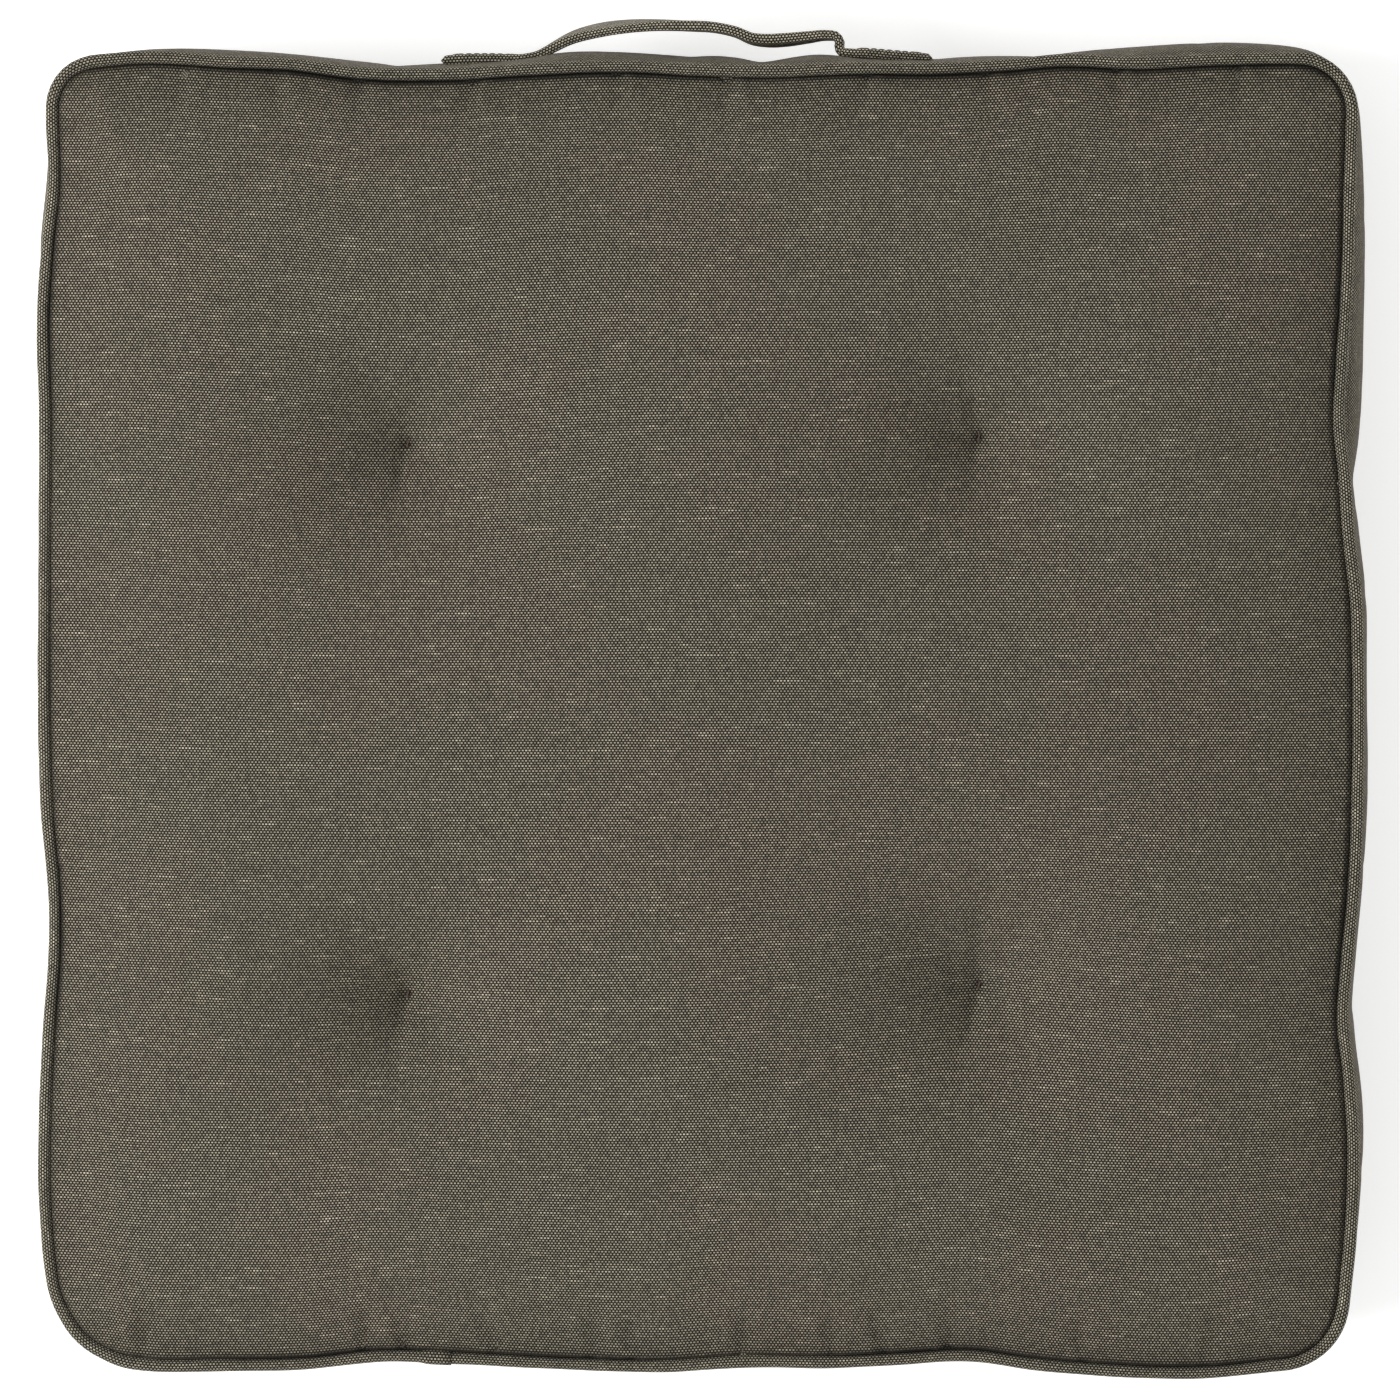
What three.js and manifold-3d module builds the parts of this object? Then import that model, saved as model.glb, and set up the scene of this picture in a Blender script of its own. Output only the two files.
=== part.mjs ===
// Floor cushion: a square box cushion with piped seams, four tufts and a carry handle on its back side.
// Millimetres, +Z up, +Y towards the side with the handle.
// The origin is the centre of the underside, on the floor.
// The handle's free loop swings about the line through its two sewn ends.
import * as THREE from "three";
import { mergeVertices } from "three/addons/utils/BufferGeometryUtils.js";
import Module from "manifold-3d";

// ---------------------------------------------------------------- driving dimensions

// Cover
const coverWidth = 494; // along X, across the boxing's outer faces at the seams
const coverDepth = 494; // along Y, the same
const cornerRadius = 25; // of the seam line in plan
const bottomSeamHeight = 14; // the filled underside lifts the bottom seam off the floor
const boxingHeight = 74; // seam to seam
const boxingBulge = 5; // how far the filling pushes the boxing out at mid height
const clothThickness = 1;
const seamAllowance = 10; // turned in behind the seam line
const crownRise = 15; // of the top panel above its edge
const crownReach = 140; // how far in from the edge the crown levels off
const floorReach = 60; // how far in from the edge the underside meets the floor

// Piping
const cordDiameter = 2.6;
const pipingWrap = 0.8; // thickness of the strip folded round the cord
const pipingSlit = 0.3; // between the two layers of the folded strip
const pipingJointX = -104; // where the two ends of each piping meet, on the front side
const pipingJointGap = 0.4;

// Tufts
const tuftSpacingX = 216;
const tuftSpacingY = 214;
const topTuftDepth = 26; // below the crown
const topTuftReach = 88;
const bottomTuftDepth = 15; // above the floor
const bottomTuftReach = 52;
const tuftPatch = 10; // the small flat of cloth that a stitch lies on
const tuftThread = 0.9;
const tuftStitch = 3.2; // between the two legs of a tie
const tuftSharpness = 1.8; // 1 is a straight cone, more is a steeper pit
const channelMargin = 1; // the filling's channel stays this far inside the patch

// Handle
const strapWidth = 20;
const strapThickness = 3.5;
const strapLeft = -98; // the left end of the strap along X
const strapRight = 88;
const sewnLength = 32; // of each end that is sewn flat to the boxing
const foldOffset = 4; // from the right sewn end to the strap's sharp fold
const lowStand = 7.2; // of the loop's middle layer off the sewn ends, at its right
const highStand = 11.2; // the same, at its left, where it bows out most
const loopStart = 54; // from the strap's left end to where the loop swings free
const loopEnd = 42; // from the strap's right end to the same
const stitchMargin = 4; // from the strap's edges to the stitched box
const stitchThread = 0.8;

// Seam threads and clearances
const seamThread = 0.6;
const seamThreadInset = 2; // of the stitch line from the seam line
const clearance = 0.3; // between pieces that touch
const sewingGap = 0.5; // between the piping's bead and the cloth edges beside it
const rimMargin = 2; // the filling starts this far inside the allowances

// Facets
const arcSteps = 6; // along a quarter turn of a seam
const wallSteps = 6; // up the boxing
const beadSides = 10; // round the piping's bead
const cordSides = 8;
const threadSides = 6;
const holeSides = 8;

// ---------------------------------------------------------------- sizes that follow

const halfWidth = coverWidth / 2;
const halfDepth = coverDepth / 2;
const cornerX = halfWidth - cornerRadius;
const cornerY = halfDepth - cornerRadius;
const rimWidth = seamAllowance + rimMargin;
const topSeamHeight = bottomSeamHeight + boxingHeight;
const midHeight = bottomSeamHeight + boxingHeight / 2;

const wrapInner = cordDiameter / 2 + clearance;
const beadRadius = wrapInner + pipingWrap;
const legOuter = pipingSlit / 2 + pipingWrap;
const layerStart = legOuter + clearance; // from the seam plane to the cloth above and below the piping
const layerEnd = layerStart + clothThickness;
const beadOut = Math.sqrt((beadRadius + sewingGap) ** 2 - layerStart ** 2);

const topRim = topSeamHeight + layerEnd;
const bottomRim = bottomSeamHeight - layerEnd;
const threadDrop = layerEnd + clearance + seamThread / 2; // of the stitch line from the seam plane

const wallY = halfDepth + boxingBulge;
const strapPlane = wallY + clearance + strapThickness / 2; // middle layer of the sewn ends
const loopLeft = strapLeft + loopStart;
const loopRight = strapRight - loopEnd;
const foldX = strapRight - sewnLength - foldOffset;

// ---------------------------------------------------------------- cloth and finish

function finish(color, roughness) {
  return new THREE.MeshStandardMaterial({ color, roughness, metalness: 0 });
}
const canvasCloth = () => finish("#645e53", 0.92);
const pipingCloth = () => finish("#6a6459", 0.9);
const strapCloth = () => finish("#6b655a", 0.9);
const cottonCord = () => finish("#d8d2c4", 0.95);
const fibre = () => finish("#eeece6", 1);
const sewingThread = () => finish("#463e36", 0.7);

// ---------------------------------------------------------------- helpers

const group = new THREE.Group();
group.name = "floor_cushion";

function add(name, geometry, material) {
  const mesh = new THREE.Mesh(geometry, material);
  mesh.name = name;
  group.add(mesh);
  return mesh;
}

const wasm = await Module();
wasm.setup();

function toSolid(geometry) {
  const bare = geometry.clone();
  bare.deleteAttribute("normal");
  bare.deleteAttribute("uv");
  const merged = mergeVertices(bare, 1e-3);
  return new wasm.Manifold(
    new wasm.Mesh({
      numProp: 3,
      vertProperties: merged.attributes.position.array,
      triVerts: new Uint32Array(merged.index.array),
    }),
  );
}

function toGeometry(solid) {
  const { vertProperties, triVerts } = solid.getMesh();
  const geometry = new THREE.BufferGeometry();
  geometry.setAttribute("position", new THREE.BufferAttribute(vertProperties, 3));
  geometry.setIndex(new THREE.BufferAttribute(triVerts, 1));
  geometry.computeVertexNormals();
  return geometry;
}

function cut(geometry, tools) {
  return toGeometry(tools.reduce((solid, tool) => solid.subtract(toSolid(tool)), toSolid(geometry)));
}

// A vertical cylinder, for holes.
function drill(x, y, radius, low, high) {
  const tool = new THREE.CylinderGeometry(radius, radius, high - low, holeSides);
  tool.rotateX(Math.PI / 2);
  return tool.translate(x, y, (low + high) / 2);
}

// A curve made of flat pieces, each cut into its own number of steps.
// Its parameter runs evenly over the steps, so an extrusion puts its sections where the steps are.
class SeamPath extends THREE.Curve {
  constructor(pieces, height) {
    super();
    this.pieces = pieces;
    this.height = height;
    this.steps = pieces.reduce((sum, piece) => sum + piece.steps, 0);
  }
  getPoint(t, target = new THREE.Vector3()) {
    let at = THREE.MathUtils.clamp(t, 0, 1) * this.steps;
    let index = 0;
    while (index < this.pieces.length - 1 && at > this.pieces[index].steps) {
      at -= this.pieces[index].steps;
      index += 1;
    }
    const { curve, steps } = this.pieces[index];
    const point = curve.getPoint(at / steps);
    return target.set(point.x, point.y, this.height);
  }
  getUtoTmapping(u) {
    return u;
  }
}

const line = (from, to) => ({ curve: new THREE.LineCurve(from, to), steps: 1 });

// The seam line's arc at one corner: signs pick the corner, and from and to are in quarter turns.
function cornerArc(signX, signY, from, to, gapAngle = 0) {
  const quarter = Math.PI / 2;
  const start = from * quarter + (from % 1 === 0 ? 0 : gapAngle);
  const end = to * quarter - (to % 1 === 0 ? 0 : gapAngle);
  const curve = new THREE.EllipseCurve(
    signX * cornerX, signY * cornerY, cornerRadius, cornerRadius, start, end,
  );
  return { curve, steps: Math.round((to - from) * arcSteps) };
}

// Right round the seam line, anticlockwise from the piping's joint and back to it.
function seamRound(height) {
  const start = new THREE.Vector2(pipingJointX + pipingJointGap / 2, -halfDepth);
  const end = new THREE.Vector2(pipingJointX - pipingJointGap / 2, -halfDepth);
  return new SeamPath(
    [
      line(start, new THREE.Vector2(cornerX, -halfDepth)),
      cornerArc(1, -1, -1, 0),
      line(new THREE.Vector2(halfWidth, -cornerY), new THREE.Vector2(halfWidth, cornerY)),
      cornerArc(1, 1, 0, 1),
      line(new THREE.Vector2(cornerX, halfDepth), new THREE.Vector2(-cornerX, halfDepth)),
      cornerArc(-1, 1, 1, 2),
      line(new THREE.Vector2(-halfWidth, cornerY), new THREE.Vector2(-halfWidth, -cornerY)),
      cornerArc(-1, -1, 2, 3),
      line(new THREE.Vector2(-cornerX, -halfDepth), end),
    ],
    height,
  );
}

// A section's point, from its distance outside the seam line and its height above the path.
const sectionPoint = (outward, up) => new THREE.Vector2(-up, -outward);

function sweep(points, path) {
  const section = new THREE.Shape(points);
  return new THREE.ExtrudeGeometry(section, { steps: path.steps, extrudePath: path, curveSegments: 1 });
}

function circlePoints(outward, up, radius, sides) {
  return Array.from({ length: sides }, (_, i) => {
    const angle = (2 * Math.PI * i) / sides;
    return sectionPoint(outward + radius * Math.cos(angle), up + radius * Math.sin(angle));
  });
}

// ---------------------------------------------------------------- the filled shape

const rise = (distance, reach) => 1 - (1 - THREE.MathUtils.clamp(distance / reach, 0, 1)) ** 2;

// 0 on the flat rim over the seam allowances, 1 where the cloth has levelled off.
function plateau(x, y, reach) {
  return (
    rise(halfWidth - rimWidth - Math.abs(x), reach) * rise(halfDepth - rimWidth - Math.abs(y), reach)
  );
}

// 1 at a tuft, 0 beyond its reach.
function dimple(x, y, reach) {
  const dx = Math.max(Math.abs(Math.abs(x) - tuftSpacingX / 2) - tuftPatch / 2, 0);
  const dy = Math.max(Math.abs(Math.abs(y) - tuftSpacingY / 2) - tuftPatch / 2, 0);
  return Math.max(1 - Math.hypot(dx, dy) / reach, 0) ** tuftSharpness;
}

const topFace = (x, y) =>
  topRim + crownRise * plateau(x, y, crownReach) - topTuftDepth * dimple(x, y, topTuftReach);

const bottomFace = (x, y) =>
  bottomRim * (1 - plateau(x, y, floorReach)) + bottomTuftDepth * dimple(x, y, bottomTuftReach);

// How far the boxing stands out at a height.
function bulgeAt(z) {
  const fromMiddle = (z - midHeight) / (boxingHeight / 2);
  return boxingBulge * Math.max(1 - fromMiddle ** 2, 0);
}

// Grid lines from the middle to one edge: closer together round a tuft and over the rim,
// with one along the edge of the flat that rests on the floor.
function stations(half, tuft) {
  const inner = tuft - tuftPatch / 2;
  const outer = tuft + tuftPatch / 2;
  const flat = half - rimWidth - floorReach;
  const side = [
    inner * 0.45, inner * 0.78, inner, outer, THREE.MathUtils.lerp(outer, flat, 0.4), flat,
    half - cornerRadius, half - rimWidth, half,
  ];
  return [...side.map((s) => -s).reverse(), 0, ...side];
}
const columns = stations(halfWidth, tuftSpacingX / 2);
const rows = stations(halfDepth, tuftSpacingY / 2);

// Turns the square corner of the grid into the seam line's round one.
function roundCorner(x, y) {
  const dx = Math.abs(x) - cornerX;
  const dy = Math.abs(y) - cornerY;
  if (dx <= 0 || dy <= 0) return [x, y];
  const scale = Math.max(dx, dy) / Math.hypot(dx, dy);
  return [Math.sign(x) * (cornerX + dx * scale), Math.sign(y) * (cornerY + dy * scale)];
}

// A box whose grid of points is moved by place(x, y, layer).
function gridSolid(xs, ys, layers, place) {
  const nx = xs.length - 1;
  const ny = ys.length - 1;
  const geometry = new THREE.BoxGeometry(1, 1, 1, nx, ny, layers);
  const position = geometry.getAttribute("position");
  for (let i = 0; i < position.count; i += 1) {
    const x = xs[Math.round((position.getX(i) + 0.5) * nx)];
    const y = ys[Math.round((position.getY(i) + 0.5) * ny)];
    position.setXYZ(i, ...place(x, y, Math.round((position.getZ(i) + 0.5) * layers)));
  }
  // The lower face's squares are split the same way as the upper face's, so that two solids
  // made on one grid stay the same distance apart all over.
  const lower = geometry.groups[5];
  const index = geometry.index;
  for (let i = lower.start; i < lower.start + lower.count; i += 6) {
    const [a, b, d, , c] = index.array.slice(i, i + 5);
    [a, b, c, a, c, d].forEach((vertex, k) => index.setX(i + k, vertex));
  }
  return geometry;
}

const tufts = [
  ["back_left", -tuftSpacingX / 2, tuftSpacingY / 2],
  ["back_right", tuftSpacingX / 2, tuftSpacingY / 2],
  ["front_left", -tuftSpacingX / 2, -tuftSpacingY / 2],
  ["front_right", tuftSpacingX / 2, -tuftSpacingY / 2],
];

// ---------------------------------------------------------------- top and bottom panels

// A tie's leg is square in section, so its corner reaches furthest.
const stitchHole = (tuftThread / 2) * Math.SQRT2 + clearance;

function panel(face, layerOffset) {
  const cloth = gridSolid(columns, rows, 1, (x, y, layer) => [
    ...roundCorner(x, y),
    face(x, y) + layerOffset + layer * clothThickness,
  ]);
  const holes = tufts.flatMap(([, x, y]) => {
    const middle = face(x, y);
    return [-1, 1].map((side) =>
      drill(x, y + (side * tuftStitch) / 2, stitchHole, middle - tuftPatch, middle + tuftPatch),
    );
  });
  return cut(cloth, holes);
}

add("top_panel", panel(topFace, -clothThickness), canvasCloth());
add("bottom_panel", panel(bottomFace, 0), canvasCloth());

// ---------------------------------------------------------------- boxing

// The boxing's section: a bulged wall whose two edges are turned in as seam allowances.
function boxingSection() {
  const low = bottomSeamHeight + layerStart;
  const high = topSeamHeight - layerStart;
  const wall = (inset, from, to) =>
    Array.from({ length: wallSteps + 1 }, (_, i) => {
      const z = THREE.MathUtils.lerp(from, to, i / wallSteps);
      return sectionPoint(bulgeAt(z) - inset, z);
    });
  return [
    sectionPoint(-seamAllowance, low),
    ...wall(0, low, high),
    sectionPoint(-seamAllowance, high),
    sectionPoint(-seamAllowance, high - clothThickness),
    ...wall(clothThickness, high - clothThickness, low + clothThickness),
    sectionPoint(-seamAllowance, low + clothThickness),
  ];
}

// Strips meet at the middle of each corner. The gap is kept where the turned-in edges are nearest.
const stripGap = clearance / 2 / (cornerRadius - seamAllowance);

const boxingStrips = {
  boxing_right: [
    cornerArc(1, -1, -0.5, 0, stripGap),
    line(new THREE.Vector2(halfWidth, -cornerY), new THREE.Vector2(halfWidth, cornerY)),
    cornerArc(1, 1, 0, 0.5, stripGap),
  ],
  boxing_back: [
    cornerArc(1, 1, 0.5, 1, stripGap),
    line(new THREE.Vector2(cornerX, halfDepth), new THREE.Vector2(-cornerX, halfDepth)),
    cornerArc(-1, 1, 1, 1.5, stripGap),
  ],
  boxing_left: [
    cornerArc(-1, 1, 1.5, 2, stripGap),
    line(new THREE.Vector2(-halfWidth, cornerY), new THREE.Vector2(-halfWidth, -cornerY)),
    cornerArc(-1, -1, 2, 2.5, stripGap),
  ],
  boxing_front: [
    cornerArc(-1, -1, 2.5, 3, stripGap),
    line(new THREE.Vector2(-cornerX, -halfDepth), new THREE.Vector2(cornerX, -halfDepth)),
    cornerArc(1, -1, -1, -0.5, stripGap),
  ],
};

for (const [name, pieces] of Object.entries(boxingStrips)) {
  add(name, sweep(boxingSection(), new SeamPath(pieces, 0)), canvasCloth());
}

// ---------------------------------------------------------------- piping

// A strip folded round the cord: a bead outside the seam line, and two layers that run in between
// the panel and the boxing. The slit between the layers opens into the bead.
function pipingSection() {
  const arc = (radius, halfOpening, from, to) =>
    Array.from({ length: beadSides + 1 }, (_, i) => {
      const edge = Math.PI - Math.asin(halfOpening / radius);
      const angle = THREE.MathUtils.lerp(from * edge, to * edge, i / beadSides);
      return sectionPoint(beadOut + radius * Math.cos(angle), radius * Math.sin(angle));
    });
  return [
    sectionPoint(-seamAllowance, -legOuter),
    ...arc(beadRadius, legOuter, -1, 1),
    sectionPoint(-seamAllowance, legOuter),
    sectionPoint(-seamAllowance, pipingSlit / 2),
    ...arc(wrapInner, pipingSlit / 2, 1, -1),
    sectionPoint(-seamAllowance, -pipingSlit / 2),
  ];
}

for (const [place, height, inward] of [["top", topSeamHeight, -1], ["bottom", bottomSeamHeight, 1]]) {
  const round = seamRound(height);
  add(`piping_cover_${place}`, sweep(pipingSection(), round), pipingCloth());
  const cord = circlePoints(beadOut, 0, cordDiameter / 2, cordSides);
  add(`piping_cord_${place}`, sweep(cord, round), cottonCord());
  // The lockstitch that holds panel, piping and boxing together lies behind the boxing's turned-in edge.
  const stitch = circlePoints(-seamThreadInset, inward * threadDrop, seamThread / 2, threadSides);
  add(`seam_thread_${place}`, sweep(stitch, round), sewingThread());
}

// ---------------------------------------------------------------- corner seams of the boxing

// A thread up the inside of the boxing, where two strips meet.
class WallLine extends THREE.Curve {
  constructor(signX, signY) {
    super();
    this.signX = signX;
    this.signY = signY;
    this.inset = clothThickness + clearance + seamThread / 2;
    const end = threadDrop + seamThread + clearance;
    this.low = bottomSeamHeight + end;
    this.high = topSeamHeight - end;
  }
  getPoint(t, target = new THREE.Vector3()) {
    const z = THREE.MathUtils.lerp(this.low, this.high, t);
    const radius = cornerRadius + bulgeAt(z) - this.inset - clearance;
    const across = radius * Math.SQRT1_2;
    return target.set(this.signX * (cornerX + across), this.signY * (cornerY + across), z);
  }
}

for (const [name, signX, signY] of [
  ["front_left", -1, -1], ["front_right", 1, -1], ["back_right", 1, 1], ["back_left", -1, 1],
]) {
  const seam = new WallLine(signX, signY);
  seam.steps = wallSteps;
  const thread = circlePoints(0, 0, seamThread / 2, threadSides);
  add(`corner_seam_thread_${name}`, sweep(thread, seam), sewingThread());
}

// ---------------------------------------------------------------- filling

// Each level up the filling's wall: how far it stays inside the seam line, and its height.
// It clears the turned-in allowances, then fills the boxing's bulge behind the corner threads.
const allowanceDepth = threadDrop + seamThread / 2 + clearance;
const wallInset = clothThickness + seamThread + 4 * clearance;
const fillingLevels = [
  [rimWidth, bottomSeamHeight + allowanceDepth],
  [wallInset, bottomSeamHeight + allowanceDepth + rimWidth],
  [wallInset, midHeight],
  [wallInset, topSeamHeight - allowanceDepth - rimWidth],
  [rimWidth, topSeamHeight - allowanceDepth],
];
const fillingLayers = fillingLevels.length + 1;
const fillingEdgeX = halfWidth - rimWidth;
const fillingEdgeY = halfDepth - rimWidth;

function fillingPoint(x, y, layer) {
  if (layer === 0) {
    return [...roundCorner(x, y), bottomFace(x, y) + clothThickness + clearance];
  }
  if (layer === fillingLayers) {
    return [...roundCorner(x, y), topFace(x, y) - clothThickness - clearance];
  }
  const [inset, z] = fillingLevels[layer - 1];
  const bulge = inset === rimWidth ? 0 : bulgeAt(z);
  const out = rimWidth - inset + bulge;
  const push = (value, edge) => (Math.abs(value) >= edge ? value + Math.sign(value) * out : value);
  return [...roundCorner(push(x, fillingEdgeX), push(y, fillingEdgeY)), z];
}

const tieChannel = tuftPatch / 2 - channelMargin;
const filling = gridSolid(columns.slice(1, -1), rows.slice(1, -1), fillingLayers, fillingPoint);
const channels = tufts.map(([, x, y]) => drill(x, y, tieChannel, -tuftPatch, topSeamHeight + crownRise));
add("filling", cut(filling, channels), fibre());

// ---------------------------------------------------------------- tuft ties

// One loop of thread through the whole cushion: a stitch on each face, and two legs between.
const stitchLift = clearance + tuftThread;
for (const [name, x, y] of tufts) {
  const reach = (tuftStitch + tuftThread) / 2;
  const low = bottomFace(x, y) - stitchLift;
  const high = topFace(x, y) + stitchLift;
  const rectangle = (r, from, to) => [
    new THREE.Vector2(-r, from), new THREE.Vector2(r, from),
    new THREE.Vector2(r, to), new THREE.Vector2(-r, to),
  ];
  const shape = new THREE.Shape(rectangle(reach, low, high));
  shape.holes.push(
    new THREE.Path(rectangle(reach - tuftThread, low + tuftThread, high - tuftThread)),
  );
  const loop = new THREE.ExtrudeGeometry(shape, { depth: tuftThread, bevelEnabled: false });
  loop.translate(0, 0, -tuftThread / 2);
  loop.rotateX(Math.PI / 2);
  loop.rotateZ(Math.PI / 2);
  loop.translate(x, y, 0);
  add(`tuft_tie_${name}`, loop, sewingThread());
}

// ---------------------------------------------------------------- handle

// The strap seen from above: a strip of even thickness along a line of points [x, stand],
// where stand is how far the middle layer is off the sewn ends.
function strap(points) {
  const place = points.map(([x, stand]) => new THREE.Vector2(x, strapPlane + stand));
  const directions = place.slice(1).map((point, i) => point.clone().sub(place[i]).normalize());
  const side = (offset) =>
    place.map((point, i) => {
      const before = directions[Math.max(i - 1, 0)];
      const after = directions[Math.min(i, directions.length - 1)];
      const mitre = new THREE.Vector2(-before.y - after.y, before.x + after.x).normalize();
      const stretch = offset / mitre.dot(new THREE.Vector2(-after.y, after.x));
      return point.clone().addScaledVector(mitre, stretch);
    });
  const shape = new THREE.Shape([
    ...side(-strapThickness / 2),
    ...side(strapThickness / 2).reverse(),
  ]);
  const geometry = new THREE.ExtrudeGeometry(shape, { depth: strapWidth, bevelEnabled: false });
  return geometry.translate(0, 0, midHeight - strapWidth / 2);
}

// The loop leaves the left end, bows out, sinks to a lower run and ends at a sharp fold.
const cutMargin = 1; // the drawn pieces pass the cuts between loop and ends by this much
const loopAt = (share) => THREE.MathUtils.lerp(loopLeft, loopRight, share);
const standAt = (share) => THREE.MathUtils.lerp(lowStand, highStand, share);

const loopPoints = [
  [loopLeft - cutMargin, lowStand],
  [loopLeft, lowStand],
  [loopAt(0.12), standAt(0.7)],
  [loopAt(0.28), highStand],
  [loopAt(0.5), standAt(0.9)],
  [loopAt(0.68), standAt(0.3)],
  [loopAt(0.84), lowStand],
  [loopRight + cutMargin, lowStand],
];
const leftEnd = strapLeft + sewnLength;
const leftPoints = [
  [strapLeft, 0],
  [leftEnd, 0],
  [THREE.MathUtils.lerp(leftEnd, loopLeft, 0.45), lowStand * 0.38],
  [loopLeft, lowStand],
  [loopLeft + cutMargin, lowStand],
];
const rightPoints = [
  [loopRight - cutMargin, lowStand],
  [foldX, lowStand],
  [foldX, 0],
  [strapRight, 0],
];

// Cuts a drawn piece square to the hinge line, so the loop can swing past the fixed ends.
function trimmed(points, from, to) {
  const keep = new THREE.BoxGeometry(to - from, 4 * highStand + strapThickness, 2 * strapWidth);
  keep.translate((from + to) / 2, strapPlane, midHeight);
  return toGeometry(toSolid(strap(points)).intersect(toSolid(keep)));
}

const halfGap = clearance / 2;
add("handle_end_left", trimmed(leftPoints, strapLeft, loopLeft - halfGap), strapCloth());
add("handle_loop", trimmed(loopPoints, loopLeft + halfGap, loopRight - halfGap), strapCloth());
add("handle_end_right", trimmed(rightPoints, loopRight + halfGap, strapRight), strapCloth());

// A box of stitches over each sewn end, on the strap's outer face.
for (const [name, from] of [["left", strapLeft], ["right", strapRight - sewnLength]]) {
  const box = (margin) => {
    const low = midHeight - strapWidth / 2 + margin;
    const high = midHeight + strapWidth / 2 - margin;
    return [
      new THREE.Vector2(from + margin, low), new THREE.Vector2(from + sewnLength - margin, low),
      new THREE.Vector2(from + sewnLength - margin, high), new THREE.Vector2(from + margin, high),
    ];
  };
  const shape = new THREE.Shape(box(stitchMargin));
  shape.holes.push(new THREE.Path(box(stitchMargin + stitchThread)));
  const stitches = new THREE.ExtrudeGeometry(shape, { depth: stitchThread, bevelEnabled: false });
  stitches.rotateX(Math.PI / 2);
  stitches.translate(0, strapPlane + strapThickness / 2 + clearance + stitchThread, 0);
  add(`handle_stitching_${name}`, stitches, sewingThread());
}

export default group;
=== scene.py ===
# %% [markdown]
# # A piped floor cushion in canvas
# This lesson dresses a plain model of a floor cushion in real looking cloth.
# The real one is a sewn cover of olive-brown canvas over loose fibre: a top and a bottom panel,
# four side strips called boxing, piping in both seams, four thread tufts and a small carry handle.
# Each of those is its own piece here, cut flat first and then sewn and filled, as a sewer would.

# %% Load the plain model
import math

import bpy
import numpy as np
from mathutils import Matrix, Vector
from mathutils.bvhtree import BVHTree
from mathutils.kdtree import KDTree


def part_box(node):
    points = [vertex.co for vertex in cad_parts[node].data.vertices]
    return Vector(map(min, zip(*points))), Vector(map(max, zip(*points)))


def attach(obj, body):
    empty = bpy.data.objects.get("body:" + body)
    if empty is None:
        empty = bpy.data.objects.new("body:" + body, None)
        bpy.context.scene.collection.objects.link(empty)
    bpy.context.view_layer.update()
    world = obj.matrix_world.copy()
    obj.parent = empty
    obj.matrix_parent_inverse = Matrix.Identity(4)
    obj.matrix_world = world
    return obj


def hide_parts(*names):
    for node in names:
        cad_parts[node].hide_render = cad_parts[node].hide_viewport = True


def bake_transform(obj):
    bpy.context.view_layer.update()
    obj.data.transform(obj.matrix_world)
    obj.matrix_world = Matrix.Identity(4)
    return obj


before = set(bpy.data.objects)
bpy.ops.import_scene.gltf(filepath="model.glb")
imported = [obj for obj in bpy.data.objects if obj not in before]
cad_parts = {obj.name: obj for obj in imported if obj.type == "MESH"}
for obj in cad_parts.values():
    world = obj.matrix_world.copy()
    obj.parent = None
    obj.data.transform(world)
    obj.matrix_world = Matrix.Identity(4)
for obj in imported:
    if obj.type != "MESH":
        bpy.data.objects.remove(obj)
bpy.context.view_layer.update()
MM = 0.001

# %% [markdown]
# ## Sizes
# The seams' heights, the seam line, the piping and the strap's height and width come from the plain
# model's own nodes. The seams' sway, the boxing's stand and the strap's line in plan are given further
# down, in millimetres, and don't follow the plain model.
# The seam line is where a panel, a boxing strip and the piping are stitched together.

# %% Sizes read from the plain model
(_, _, bead_low), (piping_reach, _, bead_high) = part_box("piping_cover_top")
(_, _, low_bead_low), (_, _, low_bead_high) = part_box("piping_cover_bottom")
BEAD = (bead_high - bead_low) / 2  # radius of the piping
TOP_SEAM = (bead_low + bead_high) / 2
BOTTOM_SEAM = (low_bead_low + low_bead_high) / 2
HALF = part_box("top_panel")[1][0]  # from the middle to the seam line
BEAD_OUT = piping_reach - HALF - BEAD  # from the seam line to the middle of the piping
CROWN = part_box("top_panel")[1][2]
print("seams at", round(BOTTOM_SEAM, 4), round(TOP_SEAM, 4), "half width", round(HALF, 4))

# %% [markdown]
# ## Small tools
# Every operator acts on what is selected, so each step first picks its own pieces and nothing else.

# %% Selecting, reading and placing points
def pick(*pieces):
    if bpy.context.object and bpy.context.object.mode != "OBJECT":
        bpy.ops.object.mode_set(mode="OBJECT")
    bpy.ops.object.select_all(action="DESELECT")
    for piece in pieces:
        piece.select_set(True)
        bpy.context.view_layer.objects.active = piece


def points_of(mesh):
    values = np.empty(len(mesh.vertices) * 3, np.float32)
    mesh.vertices.foreach_get("co", values)
    return values.reshape(-1, 3).astype(float)


def place_points(mesh, points):
    mesh.vertices.foreach_set("co", np.asarray(points, np.float32).ravel())
    mesh.update()


def apply_all(piece):
    pick(piece)
    for modifier in list(piece.modifiers):
        bpy.ops.object.modifier_apply(modifier=modifier.name)


def smooth(piece):
    pick(piece)
    bpy.ops.object.shade_smooth()


# %% [markdown]
# ## The sewn outline
# A sewn cushion is never quite square. The stuffing and the tufts draw the seams in and let them
# out again, so each side gets a soft curve through measured points, in millimetres outwards.

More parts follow.
